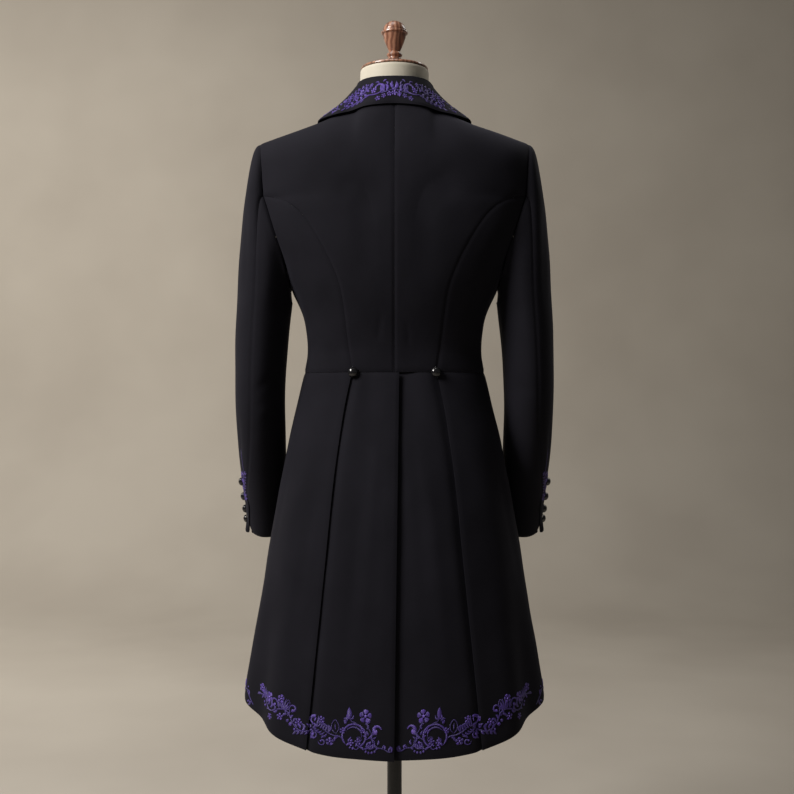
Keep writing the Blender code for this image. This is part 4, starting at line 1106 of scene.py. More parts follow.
# %% The hem border
def hem_border():
    """All shapes of one tail's border."""
    made = []
    # Leafy tail beside the vent
    made += stem([(3, 15), (10, 15), (18, 19), (26, 20), (32, 24)], 1.5, 0.45)
    made += leaf(4, 15, 62, 9, 3.4, 0.2, 0.6) + leaf(9, 15, 128, 8, 3.2, -0.2, 0.5)
    made += leaf(15, 18, 70, 7, 2.8, 0.2, 0.65) + leaf(20, 19, 118, 7, 2.6, 0.1, 0.5)
    made += leaf(25, 20, -40, 6, 2.4, 0.1, 0.6)
    # Low scroll with berries under it
    made += curl(39, 24, 10.5, 40, 1.15, 3.2, 0.55)
    for k, (s, h) in enumerate(((31, 14), (35.5, 12), (40.5, 11.5), (45, 13))):
        made += berry(s, h, 1.7, 0.6 + 0.08 * (k % 2))
    made += leaf(48, 15, 28, 9, 3.0, 0.15, 0.6) + stem([(33, 26), (36, 33), (36, 40), (33, 46)], 2.2, 0.5)
    for k in range(5):
        made += leaf(30 + 4.5 * k, 19 - 0.5 * k, 60 + 22 * k, 7.5, 3.0, 0.2, 0.5 + 0.1 * (k % 2))
    made += leaf(27, 24, 96, 8, 3.0, 0.2, 0.56) + leaf(44, 33, 30, 8, 3.0, 0.1, 0.6)
    made += leaf(41, 38, 60, 8, 3.2, -0.1, 0.52)
    # Comma leaf, thick at its head
    made += curl(28.5, 46.5, 7.0, 170, -0.62, 5.6, 0.75, 0.55)
    made += leaf(36, 38, 108, 12, 4.2, 0.25, 0.55) + leaf(35, 33, 148, 7, 2.6, 0.1, 0.45)
    # Open flower over it on a short stem
    made += stem([(36, 40), (41, 47), (45, 53), (46, 60)], 1.4, 0.4)
    made += flower(48, 66, 10.5, 5, 20, 0.66)
    made += leaf(43, 53, 20, 6, 2.6, 0.1, 0.5) + leaf(45, 56, 150, 6, 2.6, 0.1, 0.5)
    # Ring scroll
    made += [satin(arc(65, 35, 19, 18, -50, 256, 30), 2.6, "stem", 0.62)]
    made += [satin(arc(66, 36, 13.5, 12.5, 30, 200, 24), 2.2, "leaf", 0.5)]
    made += flower(58, 27, 5.5, 5, 10, 0.6) + flower(70, 25, 5.5, 5, 40, 0.68)
    made += loop(61, 33, 200, 9, 5, 1.0, 0.5) + leaf(75, 28, 130, 8, 3.2, 0.2, 0.55)
    made += curl(60, 20, 6.0, 20, -0.9, 2.0, 0.55) + leaf(76, 20, 160, 9, 3.4, -0.2, 0.7)
    made += berry(66, 16.5, 1.6, 0.8) + berry(70.5, 17.5, 1.5, 0.7)
    for k, (s, h) in enumerate(arc(65, 35, 23.5, 22.5, 150, 252, 34)):
        made += leaf(s, h, 88 + 34 * k, 8.5, 3.2, 0.25, 0.5 + 0.12 * (k % 2))
    made += flower(52, 44, 4.6, 5, 5, 0.66) + flower(84, 42, 5.0, 5, 25, 0.6)
    # Bud over the ring
    made += stem([(56, 51), (64, 55), (70, 57), (73, 61)], 1.4, 0.4)
    made += [satin([(73.5, 60), (74.5, 68), (75.5, 78)], 7.0, "leaf", 0.62, 1.0)]
    made += leaf(74, 60, 70, 9, 2.8, -0.3, 0.75) + leaf(73, 60, 128, 9, 3.0, 0.3, 0.5)
    made += leaf(76, 57, 20, 9, 3.6, 0.2, 0.5) + leaf(80, 52, 60, 7, 4.2, 0.2, 0.6)
    # Open leaf and the first spray
    made += loop(94, 36, 82, 21, 10, 1.3, 0.4)
    made += stem([(83, 30), (90, 33), (97, 33), (106, 36), (116, 42)], 1.7, 0.45)
    made += leaf(90, 32, -60, 9, 3.6, 0.2, 0.55) + flower(101, 23, 6.2, 5, 15, 0.55)
    made += leaf(107, 29, -30, 8, 3.2, 0.2, 0.5) + leaf(104, 36, 78, 12, 2.8, 0.25, 0.55)
    for k in range(6):
        s = 105 + 4.2 * k
        made += leaf(s, 35 + 1.4 * k, 62 + 8 * k, 15 - k, 2.6, 0.25, 0.45 + 0.1 * (k % 2))
        made += leaf(s + 1, 34 + 1.2 * k, -35 + 7 * k, 9, 2.4, -0.2, 0.5)
    made += curl(127, 27, 6.5, 100, 0.8, 3.6, 0.6, 0.4) + leaf(131, 20, 75, 9, 3.8, 0.2, 0.6)
    for k in range(7):
        made += leaf(124 + 5.5 * k, 40 - 2.2 * k, 70 - 6 * k, 8.5, 3.2, 0.25, 0.5 + 0.12 * (k % 2))
        made += leaf(126 + 5.5 * k, 37 - 2.2 * k, -78, 7.5, 2.8, -0.2, 0.46 + 0.12 * (k % 2))
    made += flower(118, 53, 6.0, 5, 0, 0.62) + curl(112, 20, 5.5, 0, -0.9, 2.4, 0.56, 0.4)
    # Knob scroll and S-stem towards the side
    made += stem([(118, 42), (128, 42), (136, 34), (146, 27), (156, 27), (164, 33)], 2.3, 0.45)
    made += curl(137, 50, 7.5, 250, 0.75, 5.0, 0.7, 0.5) + leaf(126, 44, 96, 14, 5.0, 0.2, 0.5)
    made += leaf(148, 27, 88, 8, 2.6, 0.2, 0.65) + flower(157, 38, 6.0, 5, 30, 0.66)
    made += leaf(152, 27, -30, 8, 3.0, -0.2, 0.5) + berry(160, 25, 1.7, 0.7)
    made += stem([(162, 30), (170, 38), (176, 44), (186, 46), (198, 40)], 2.0, 0.45)
    made += curl(171, 53, 7.0, -60, 0.9, 3.4, 0.6, 0.4) + loop(180, 47, 78, 16, 8, 1.2, 0.45)
    made += spray(186, 46, 84, 5, 17, 86, 3.0, 0.5) + berry(168, 30, 2.6, 0.75) + berry(174, 33, 2.2, 0.6)
    made += leaf(178, 42, -50, 9, 3.4, 0.2, 0.55) + flower(188, 33, 5.6, 5, 0, 0.62)
    for k in range(5):
        made += leaf(164 + 5.5 * k, 34 + 2.6 * k, 110 - 4 * k, 8.5, 3.2, -0.2, 0.5 + 0.12 * (k % 2))
        made += leaf(202 + 8 * k, 35, 80 + 6 * k, 9, 3.2, 0.25, 0.52 + 0.1 * (k % 2))
    made += flower(197, 58, 6.4, 5, 10, 0.66) + flower(206, 22, 5.0, 5, 30, 0.58)
    made += leaf(194, 43, 40, 13, 3.4, 0.2, 0.5) + leaf(196, 40, -48, 9, 3.0, -0.2, 0.6)
    made += curl(206, 46, 8.0, 190, -0.95, 3.2, 0.6, 0.35)
    made += stem([(198, 40), (205, 33), (214, 30), (224, 34)], 1.8, 0.45)
    made += flower(219, 47, 8.0, 5, 36, 0.68) + leaf(212, 31, -42, 8, 3.0, 0.2, 0.5)
    made += leaf(221, 36, 68, 9, 3.0, 0.2, 0.55) + berry(226, 27, 1.8, 0.75) + berry(230, 30, 1.6, 0.65)
    made += spray(231, 38, 70, 5, 14, 90, 2.8, 0.5)
    made += stem([(222, 34), (232, 38), (240, 36), (250, 30)], 1.7, 0.45)
    made += flower(244, 45, 6.6, 5, 12, 0.62) + leaf(243, 34, -30, 9, 3.0, 0.2, 0.5)
    made += leaf(236, 37, -70, 8, 2.8, 0.1, 0.6)
    return made


def edge_border(start, count, step):
    """A lighter border up the cut-away edge: a waving stem with leaves, berries and small flowers."""
    made = []
    for k in range(count):
        s = start + k * step
        fade = 1 - 0.45 * k / count
        up = 1 if k % 2 else -1
        low, high = 15 + 7 * up * fade, 15 - 7 * up * fade
        made += stem([(s, low), (s + step * 0.5, 15), (s + step, high)], 1.5, 0.45)
        made += leaf(s + step * 0.3, 15 + up * 3, 60 * up, 12 * fade, 3.2, 0.2 * up, 0.5)
        made += leaf(s + step * 0.6, 15 - up, -50 * up, 10 * fade, 2.8, -0.2 * up, 0.6)
        if k % 3 == 1:
            made += flower(s + step * 0.5, 15 + up * 11 * fade, 5.8 * fade, 5, 24 * k, 0.64)
        else:
            made += curl(s + step * 0.5, 15 + up * 9 * fade, 5.0 * fade, 90 * up, 0.7 * up, 2.2, 0.55, 0.4)
        made += berry(s + step * 0.9, 15 - up * 12 * fade, 1.4, 0.7)
    return made


# %% [markdown]
# Flat shapes are laid on the hanging cloth by a frame that runs along an edge: so far along it,
# so far in from it, then straight down onto the cloth. Every point is dropped on the sheet that
# lies outermost there, so the work follows the folds.

# %% Laying flat work on the cloth
THREAD_GAP = 0.00012       # the threads start this far over the cloth
MM = 0.001
BUTTON_CLEAR = 0.0060      # no thread comes nearer to a button's middle
DROP_FROM = 0.03           # flat work is dropped on the cloth from this far out
DROP_REACH = 0.08


def run_of(node, wanted, start):
    """The side of a sheet with the least of one measure, begun at the end with the least of another."""
    places = sheets[node]["points"]
    run = min((np.array(side) for side in sheets[node]["sides"]), key=lambda side: wanted(places[side]))
    return run if start(places[run[0]]) <= start(places[run[-1]]) else run[::-1]


def edge_frame(runs, smooth):
    """Distance along an edge of (node, run) parts, with its places, its directions and its normals."""
    points = np.vstack([sheets[node]["points"][run] for node, run in runs])
    normals = np.vstack([sheets[node]["normals"][run] for node, run in runs])
    keep = np.concatenate(([True], np.linalg.norm(np.diff(points, axis=0), axis=1) > 1e-6))
    points, normals = points[keep], normals[keep]
    ahead = np.gradient(points, axis=0)
    soft = np.ones(smooth) / smooth
    for values in (ahead, normals):
        for k in range(3):
            padded = np.pad(values[:, k], smooth // 2, mode="edge")
            values[:, k] = np.convolve(padded, soft, mode="valid")
    return lengths_along(points), points, ahead, normals


def lay_on_edge(edge, tree, inward):
    """A function that lays (s, h) in millimetres on the cloth beside an edge."""
    length, *tables = edge

    def lay(s, h):
        place, way, out = (Vector(read_at(s * MM, length, table)) for table in tables)
        way.normalize()
        out.normalize()
        up = out.cross(way).normalized() * inward
        above = place + up * (h * MM)
        hit, normal, _, _ = tree.ray_cast(above + out * DROP_FROM, -out, DROP_REACH)
        if hit is None:
            hit, normal, _, _ = tree.find_nearest(above)
        return hit, normal if normal.dot(out) > 0 else -normal

    return lay


def embroider(name, shapes, lay, darker=1.0, clear_of=(), silk=None):
    """One piece from flat shapes laid on the cloth, without those that would lie under a button."""
    points, faces, maps, tones = [], [], [], []
    for shape in shapes:
        first = len(points)
        laid = [lay(s, h) for s, h in shape["flat"]]
        if any((hit - button).length < BUTTON_CLEAR for hit, _ in laid for button in clear_of):
            continue
        points += [hit + normal * (THREAD_GAP + lift * MM)
                   for (hit, normal), lift in zip(laid, shape["lift"])]
        middle = shape["faces"][len(shape["faces"]) // 2]
        a, b, c = (points[first + v] for v in middle[:3])
        outwards = (b - a).cross(c - b).dot(laid[middle[0]][1]) > 0
        faces += [tuple(first + v for v in (face if outwards else face[::-1]))
                  for face in shape["faces"]]
        maps += [tuple(pair) for pair in shape["map"] * MM]
        tones += [shape["tone"] * darker] * len(shape["flat"])
    mesh = bpy.data.meshes.new(name)
    mesh.from_pydata(points, [], faces)
    piece = new_piece(name, mesh)
    layer = mesh.uv_layers.new(name="thread")
    for loop_ in mesh.loops:
        layer.data[loop_.index].uv = maps[loop_.vertex_index]
    tone = mesh.attributes.new("tone", "FLOAT", "POINT")
    tone.data.foreach_set("value", tones)
    piece.data.shade_smooth()
    dress(piece, silk or satin_thread, "wool")
    print(name, "shapes", len(shapes), "triangles", triangles(piece))


# %% [markdown]
# Satin shines because its threads lie side by side: the light catches each one along its length.
# The map of each patch runs along it and across it in metres, so fine waves along it draw the threads,
# slightly slanted, in the relief. The same waves also go into the colour, lighter on each thread and
# darker between threads: painted sheen and painted shade. A fine noise adds streaks of random tone,
# and the tone value of each shape picks its purple.

# %% The satin thread group and material
THREAD_PITCH = 0.00055

thread, thread_in, thread_out = new_group(
    "satin_threads", [("Pitch Scale", WAVE_PERIOD / THREAD_PITCH)], ["Height", "Shade"])
thread_map = add_node(thread, "ShaderNodeTexCoord")
slant = add_node(thread, "ShaderNodeMapping", {"Rotation": (0, 0, math.radians(14))})
lines = add_node(thread, "ShaderNodeTexWave", {"Distortion": 0.8, "Detail": 1.0}, wave_type="BANDS",
                 bands_direction="X")
streaks = add_node(thread, "ShaderNodeTexNoise", {"Scale": 700.0, "Detail": 2.0})
# The waves go into the colour as painted sheen on each thread and painted shade between threads.
sheen_and_streaks = add_node(thread, "ShaderNodeMix", {"Factor": 0.5}, data_type="FLOAT")
wire(thread, (thread_map, "UV", slant, "Vector"), (slant, "Vector", lines, "Vector"),
     (slant, "Vector", streaks, "Vector"), (thread_in, "Pitch Scale", lines, "Scale"),
     (lines, "Fac", thread_out, "Height"), (lines, "Fac", sheen_and_streaks, "A"), (streaks, "Fac", sheen_and_streaks, "B"),
     (sheen_and_streaks, "Result", thread_out, "Shade"))


def satin_material(name, roughness, stops, sheen, sheen_tint):
    """Satin stitch in one colour: each shape's tone and its threads' painted sheen pick a place on the
    ramp.
    """
    made, tree, shader = new_material(name, {
        "Roughness": roughness, "Sheen Weight": sheen, "Sheen Tint": (*sheen_tint, 1.0)})
    stitches = use_group(tree, thread)
    tone = add_node(tree, "ShaderNodeAttribute", attribute_name="tone")
    share = add_node(tree, "ShaderNodeMath", {1: 0.34}, operation="MULTIPLY")
    total = add_node(tree, "ShaderNodeMath", operation="ADD", use_clamp=True)
    shades = ramp(tree, stops)
    wire(tree, (stitches, "Shade", share, 0), (share, 0, total, 0), (tone, "Fac", total, 1),
         (total, 0, shades, "Fac"), (shades, "Color", shader, "Base Color"))
    relief(tree, shader, stitches, "Height", 0.7, 0.0002)
    return made


satin_thread = satin_material(
    "purple_satin_stitch", 0.42,
    ((0.30, (0.010, 0.005, 0.045)), (0.62, (0.045, 0.022, 0.190)),
     (0.90, (0.120, 0.062, 0.420)), (1.0, (0.220, 0.130, 0.600))), 0.12, (0.7, 0.6, 1.0))
black_silk = satin_material(
    "black_silk_twist", 0.38, ((0.3, (0.006, 0.006, 0.008)), (1.0, (0.030, 0.029, 0.034))),
    0.10, (0.8, 0.8, 1.0))

# %% Work the border on both tails
HEM_BACK_END = 0.138       # the back skirt's hem past this lies under the side skirt's
RING_END = 84              # past the ring scroll, in millimetres along the hem,
DRAWN_OUT = 0.20           # the work is drawn out by this share
SIDES = (("left", -1), ("right", 1))      # and which way is in from an edge


def hem_frame(side, sign):
    """The hem of one tail from the centre back round to the waist at the front."""
    back, outer = f"skirt_back_{side}", f"skirt_side_{side}"
    low = run_of(back, lambda places: places[:, 2].mean(), lambda place: sign * place[0])
    out = sign * sheets[back]["points"][low, 0]
    low = low[(out >= 0) & (out < HEM_BACK_END)]
    return edge_frame([(back, low), (outer, run_of(outer, lambda places: -len(places),
                                                   lambda place: place[2]))], smooth=9)


hem_shapes = changed(hem_border(), flat=lambda flat: (
    flat + np.maximum(flat[:, :1] - RING_END, 0) * (DRAWN_OUT, 0)))
hem_shapes += edge_border(286, 13, 30)
# darker=0.82 lowers the hem's tones: painted shade for the weaker light low on the coat.
for side, inward in SIDES:
    edge = hem_frame(side, -inward)
    print(side, "hem length", round(float(edge[0][-1]), 3))
    tree = sheet_tree([f"skirt_back_{side}", f"skirt_side_{side}"])
    embroider(f"hem_embroidery_{side}", hem_shapes, lay_on_edge(edge, tree, inward), darker=0.82)

# %% Work the collar
COLLAR_ANGLES = 121
COLLAR_ROWS = 26
COLLAR_FALL = 0.060        # the table's rows reach this far up from the fall edge
COLLAR_OUT = 0.26          # the collar is looked for from this far out
COLLAR_RISES = np.linspace(0.0008, 0.075, 60)      # at these heights over its fall edge
END_GAP = 0.004


def collar_table():
    """Places and normals on the collar, by distance from the centre back and from the fall edge."""
    tree = sheet_tree(["collar"])
    fall = run_of("collar", lambda places: -lengths_along(places)[-1], lambda place: place[0])
    places = sheets["collar"]["points"][fall]
    length = lengths_along(places)
    middle = length[-1] / 2
    at = np.linspace(-middle + END_GAP, middle - END_GAP, COLLAR_ANGLES)
    rows = np.linspace(0, COLLAR_FALL, COLLAR_ROWS)
    table = []
    for low in read_at(at + middle, length, places):
        out = Vector((low[0], low[1], 0)).normalized()
        path = []
        for rise in COLLAR_RISES:
            start = Vector((0, 0, low[2] + rise)) + out * COLLAR_OUT
            hit, normal, _, _ = tree.ray_cast(start, -out, COLLAR_OUT - 0.02)
            if hit is None:
                break
            path.append((*hit, *(normal if normal.dot(out) > 0 else -normal)))
        path = np.array(path)
        table.append(read_at(rows, lengths_along(path[:, :3]), path))
    return at, rows, np.array(table)


collar_at, collar_rows, collar_places = collar_table()
print("collar table", collar_places.shape, "half fall edge", round(float(collar_at[-1]), 3))


def lay_on_collar(s, h):
    """A place and a normal on the fall, (s, h) in millimetres."""
    a = np.clip((s * MM - collar_at[0]) / (collar_at[1] - collar_at[0]), 0, COLLAR_ANGLES - 1.001)
    b = np.clip(h * MM / collar_rows[1], 0, COLLAR_ROWS - 1.001)
    k, j = int(a), int(b)
    a, b = a - k, b - j
    value = ((1 - a) * (1 - b) * collar_places[k, j] + a * (1 - b) * collar_places[k + 1, j]
             + (1 - a) * b * collar_places[k, j + 1] + a * b * collar_places[k + 1, j + 1])
    return Vector(value[:3]), Vector(value[3:]).normalized()


def collar_half():
    """The border of the collar's left half: a hook scroll round a flower, and a stem to the front."""
    made = []
    hook = [(58, 22), (47, 19.5), (36, 18.5), (26, 21), (20.5, 28), (22.5, 35), (30, 38), (36.5, 34)]
    made += [satin(hook, 3.6, "taper", 0.78, 1.0)] + berry(36, 33, 2.0, 0.9)
    made += [satin([(23, 19), (18.5, 26), (19.5, 34), (25.5, 39)], 2.8, "leaf", 0.7)]
    made += flower(39, 27, 5.6, 5, 10, 0.82) + curl(50, 31, 5.2, 200, -0.8, 2.4, 0.7, 0.4)
    made += flower(28.5, 9.5, 4.6, 5, 0, 0.72) + flower(18.5, 13.5, 4.4, 5, 40, 0.76)
    made += flower(8.6, 16.5, 4.6, 5, 15, 0.8)
    made += stem([(26, 21), (20, 20), (12, 22), (4, 24)], 1.3, 0.6)
    made += leaf(16, 21.5, 55, 17, 5.0, -0.2, 0.62)
    made += leaf(14, 22, 78, 14, 4.6, 0.25, 0.72) + leaf(5, 24, 150, 9, 3.6, 0.1, 0.66)
    made += stem([(46, 19), (56, 15.5), (68, 13), (80, 10.5), (92, 10)], 2.0, 0.6)
    for k in range(5):
        made += leaf(54 + 8.5 * k, 16 - 1.5 * k, 60 - 6 * k, 12 - k, 3.0, 0.25, 0.62 + 0.1 * (k % 2))
        made += leaf(57 + 8.5 * k, 14.5 - 1.4 * k, -42, 8, 2.8, -0.2, 0.56)
    made += loop(62, 24, 70, 12, 6, 1.1, 0.6) + berry(72, 23, 1.8, 0.7) + flower(79, 24, 5.0, 5, 20, 0.64)
    made += curl(92, 20, 8.0, 250, 0.9, 2.8, 0.6, 0.4)
    for k in range(5):
        s = 59 + 12.5 * k
        made += leaf(s, 29, 84 - 5 * k, 12, 4.0, 0.25, 0.6 + 0.1 * (k % 2))
        made += leaf(s + 3, 28, 38, 10, 3.4, -0.2, 0.54)
        made += curl(s + 5, 36.5, 4.6, 200, -0.85, 2.2, 0.62, 0.4) + berry(s + 9, 30, 1.7, 0.7)
    made += stem([(44, 38), (56, 30), (70, 27.5), (88, 29), (108, 27)], 1.6, 0.55)
    made += flower(46, 40, 4.0, 5, 20, 0.7) + leaf(30, 41, 10, 9, 3.0, 0.2, 0.6)
    made += leaf(22, 41, 160, 8, 3.0, -0.2, 0.66)
    made += leaf(12, 33, 60, 9, 3.2, 0.2, 0.6) + leaf(8, 31, 110, 10, 3.4, 0.2, 0.7)
    # Small work under the fold line, out to the shoulders
    made += curl(55, 41, 4.6, 160, 0.85, 2.0, 0.6, 0.4) + leaf(50, 36, 105, 8, 3.0, 0.2, 0.6)
    for k in range(5):
        made += leaf(61 + 10 * k, 40, 70 + 18 * (k % 2), 8, 3.0, 0.2, 0.54 + 0.1 * (k % 2))
        made += berry(67 + 10 * k, 43, 1.5, 0.66)
    return made


half = collar_half() + changed(edge_border(0, 6, 28), flat=lambda flat: flat + (102, 2))
# The right half is the left half turned over, with its tones lowered by 0.22: painted shade, as that side
# gets less of the key light.
shaded_right_half = changed(half, flat=lambda flat: flat * (-1, 1), tone=lambda tone: tone - 0.22,
                     faces=lambda faces: [face[::-1] for face in faces])
middle = (flower(0, 18, 5.0, 5, 30, 0.8) + leaf(-2, 26, 100, 13, 6.0, 0.15, 0.76)
          + leaf(3, 27, 62, 11, 5.0, 0.1, 0.68) + leaf(-8, 22, 150, 9, 3.6, 0.1, 0.66)
          + stem([(4, 24), (-2, 25.5), (-8, 22)], 1.3, 0.6)
          + [satin([(-9, 19), (-9.5, 15), (-9, 10.5)], 4.4, "leaf", 0.7)])
embroider("collar_embroidery", half + middle + shaded_right_half, lay_on_collar, darker=0.86)

# %% [markdown]
# Each cuff has the same kind of border round its upper, outer side. It starts at the button line
# and runs forward, well above the edge, so from behind it shows only beside the top buttons.


# %% Work the cuffs
def cuff_shapes():
    """A ring scroll, a bent stem and flowers, forward of the buttons."""
    made = [satin(arc(36, 84, 15, 15, -50, 256, 30), 2.4, "stem", 0.62)]
    made += flower(36, 84, 8.0, 5, 20, 0.7)
    made += stem([(46, 73), (56, 68), (66, 70), (76, 78)], 1.8, 0.5)
    made += curl(60, 84, 8.0, 250, 0.9, 3.4, 0.62, 0.45) + flower(72, 64, 5.4, 5, 10, 0.64)
    made += leaf(56, 68, -60, 9, 3.4, 0.2, 0.56) + leaf(66, 70, 60, 11, 3.6, 0.2, 0.6)
    made += spray(76, 78, 80, 5, 16, 90, 3.0, 0.56) + leaf(30, 68, -70, 10, 3.6, 0.2, 0.6)
    made += leaf(36, 68, -110, 9, 3.2, 0.1, 0.5) + berry(22, 70, 2.0, 0.7)
    return made + berry(26, 65, 1.7, 0.6) + berry(47, 62, 1.8, 0.66)


def vent_shapes():
    """A leafy stem with flowers beside the top buttons, along the seam and in from it."""
    made = stem([(64, 9), (78, 7.5), (94, 6.5), (108, 7), (122, 9), (138, 14), (172, 23)], 1.3, 0.28)
    for k in range(9):
        s = 70 + 6.5 * k
        fade = 1 - 0.03 * k
        made += leaf(s, 8, 62, 9 * fade, 2.8, 0.2, 0.34 + 0.10 * (k % 2))
        made += leaf(s + 3, 8, -64, 6.5 * fade, 2.2, -0.2, 0.30 + 0.10 * (k % 2))
    made += flower(104, 13, 5.0, 5, 10, 0.46) + flower(120, 16, 4.6, 5, 30, 0.42)
    made += flower(88, 15, 4.4, 5, 0, 0.40) + curl(112, 21, 5.0, 180, 0.9, 2.4, 0.40, 0.45)
    return made + flower(128, 7, 3.8, 5, 12, 0.38)


SEAM_POINTS = 100          # a sleeve's two long seams have more points than this


def hind_edge(places):
    """Least for the side of an upper sleeve that runs up its back."""
    return -places[:, 1].mean() - 10 * (len(places) > SEAM_POINTS)


for side, inward in SIDES:
    node = f"top_sleeve_{side}"
    near_buttons = [seats[f"cuff_button_{side}_{k}"][0] for k in (1, 2, 3, 4)]
    seam = edge_frame([(node, run_of(node, hind_edge, lambda place: place[2]))], smooth=9)
    embroider(f"vent_embroidery_{side}", vent_shapes(), lay_on_edge(seam, sheet_tree([node]), -inward),
              clear_of=near_buttons)
    low = run_of(node, lambda places: places[:, 2].mean(), lambda place: -place[1])
    edge = edge_frame([(node, low)], smooth=5)
    print(side, "cuff edge", round(float(edge[0][-1]), 3))
    embroider(f"cuff_embroidery_{side}", cuff_shapes(), lay_on_edge(edge, sheet_tree([node]), inward),
              darker=0.85, clear_of=near_buttons)

# %% [markdown]
# Each front button passes through a buttonhole in the left forepart, worked over in black silk.
# It starts behind the button and runs towards the front edge.

# %% Work the front buttonholes
HOLE_FROM = 0.02           # the silk is dropped on the cloth from this far over the seat
HOLE_REACH = 0.05

front_tree = sheet_tree(["forepart_left"])


def lay_at_seat(middle, axis):
    """A function that lays (s, h) in millimetres on the forepart, s towards the front edge."""
    up = Vector((0, 0, 1))
    ahead = axis.cross(up).normalized()
    ahead *= -1 if ahead.x > 0 else 1

    def lay(s, h):
        above = middle + ahead * (s * MM) + up * (h * MM)
        hit, normal, _, _ = front_tree.ray_cast(above + axis * HOLE_FROM, -axis, HOLE_REACH)
        return hit, normal if normal.dot(axis) > 0 else -normal

    return lay


BUTTONHOLE = [satin([(-5, 0.55), (5, 0.62), (15, 0.55)], 1.3, "stem", 0.5, 0.5),
              satin([(-5, -0.55), (5, -0.62), (15, -0.55)], 1.3, "stem", 0.6, 0.5),
              satin([(14.8, 1.5), (14.8, -1.5)], 1.2, "leaf", 0.7, 0.6)]
for k in (1, 2, 3):
    embroider(f"buttonhole_{k}", BUTTONHOLE, lay_at_seat(*seats[f"front_button_{k}"][:2]), silk=black_silk)

# %% [markdown]
# The buttons are moulded black glass, cut in flat facets so that each one catches a point of
# light. One is cut from a ball of triangles: squashed, sliced flat below and given a low rim.
# Every other button is a copy of it, set where its solid sits and facing the same way.

# %% Black glass, one button, then all of them
BUTTON_SQUASH = 0.62
BUTTON_BASE = -0.16        # where the ball is sliced, in radii
BUTTON_BALL = 0.93

glass_black = marked_material(
    "black_glass", 0.10, (900.0, 3.0), ((0.35, (0.006, 0.006, 0.007)), (0.70, (0.014, 0.013, 0.015))),
    gloss=(0.06, 0.26), coat=0.5)


def cut_button():
    """A faceted dome of radius 1 on a flat rim, its base at height 0."""
    deselect()
    bpy.ops.mesh.primitive_ico_sphere_add(subdivisions=3, radius=1.0)
    button = bpy.context.object
    button.name = "button_pattern"
    button.scale = (BUTTON_BALL, BUTTON_BALL, BUTTON_SQUASH)
    bpy.ops.object.transform_apply(scale=True)
    with editing(button):
        bpy.ops.mesh.bisect(plane_co=(0, 0, BUTTON_BASE), plane_no=(0, 0, 1), use_fill=True,
                            clear_inner=True)
    points = points_of(button.data)
    low = points[:, 2] < BUTTON_BASE + CLOSE
    points[low, :2] *= (1.0 / np.linalg.norm(points[low, :2], axis=1))[:, None]
    points[:, 2] -= BUTTON_BASE
    set_points(button.data, points)
    return button


pattern = cut_button()
high = max(vertex.co.z for vertex in pattern.data.vertices)
for node, (middle, axis, radius, rise) in seats.items():
    button = new_piece(f"glass_{node}", pattern.data.copy())
    turn = axis.to_track_quat("Z", "Y").to_matrix().to_4x4()
    size = Matrix.Diagonal((radius, radius, rise / high, 1.0))
    button.data.transform(Matrix.Translation(middle) @ turn @ size)
    dress(button, glass_black, "button", node)
print("buttons", len(seats), "radius of the last", round(radius, 4), "height", round(rise, 4))
bpy.data.objects.remove(pattern)

# %% [markdown]
# The dress form is a padded torso in a cream jersey cover, pulled smooth over the shoulders and
# up the neck to the thin turned cap. Its solid already has the body's form, so the cover is a
# copy of it with smooth shading. The neck, the cap, the finial, the pole and the foot are turned
# pieces: a line of their outline is spun round the middle.


# %% Spin an outline
TURN_STEPS = 64
TURN_MERGE = 0.00001
TURN_SHARP = 35            # degrees
CORNER_CUT = 0.21          # of each side, twice


def spun(name, outline):
    """A closed turned piece from (radius, height) pairs, from the bottom middle to the top middle."""
    mesh = bpy.data.meshes.new(name)
    mesh.from_pydata([(radius, 0.0, height) for radius, height in outline],
                     [(k, k + 1) for k in range(len(outline) - 1)], [])
    piece = new_piece(name, mesh)
    with editing(piece):
        bpy.ops.mesh.spin(steps=TURN_STEPS, angle=2 * math.pi, center=(0, 0, 0), axis=(0, 0, 1))
        bpy.ops.mesh.select_all(action="SELECT")
        bpy.ops.mesh.remove_doubles(threshold=TURN_MERGE)
        bpy.ops.mesh.normals_make_consistent(inside=False)
    soften(piece, TURN_SHARP)
    return piece


def rounded(outline):
    """An outline with its corners cut off twice, which rounds them."""
    for _ in range(2):
        made = [outline[0]]
        for (r1, z1), (r2, z2) in zip(outline, outline[1:]):
            made.append((r1 + (r2 - r1) * CORNER_CUT, z1 + (z2 - z1) * CORNER_CUT))
            made.append((r2 + (r1 - r2) * CORNER_CUT, z2 + (z1 - z2) * CORNER_CUT))
        outline = made + [outline[-1]]
    return outline


# %% Turned wood, and the black foot
wood_grain, wood_in, wood_out = new_group("wood_grain", [("Rings", 38.0)], ["Figure", "Pores"])
wood_place = add_node(wood_grain, "ShaderNodeTexCoord")
wood_long = add_node(wood_grain, "ShaderNodeMapping", {
    "Location": (0.03, 0.013, 0.0), "Rotation": (0.12, 0.3, 0.0), "Scale": (1.0, 1.0, 0.12)})
wood_rings = add_node(wood_grain, "ShaderNodeTexWave", {
    "Distortion": 6.0, "Detail": 3.0, "Detail Scale": 1.6}, wave_type="RINGS", rings_direction="Z")
wood_pores = add_node(wood_grain, "ShaderNodeTexNoise", {"Scale": 900.0, "Detail": 3.0})
wire(wood_grain, (wood_place, "Object", wood_long, "Vector"),
     (wood_long, "Vector", wood_rings, "Vector"), (wood_long, "Vector", wood_pores, "Vector"),
     (wood_in, "Rings", wood_rings, "Scale"), (wood_rings, "Fac", wood_out, "Figure"),
     (wood_pores, "Fac", wood_out, "Pores"))

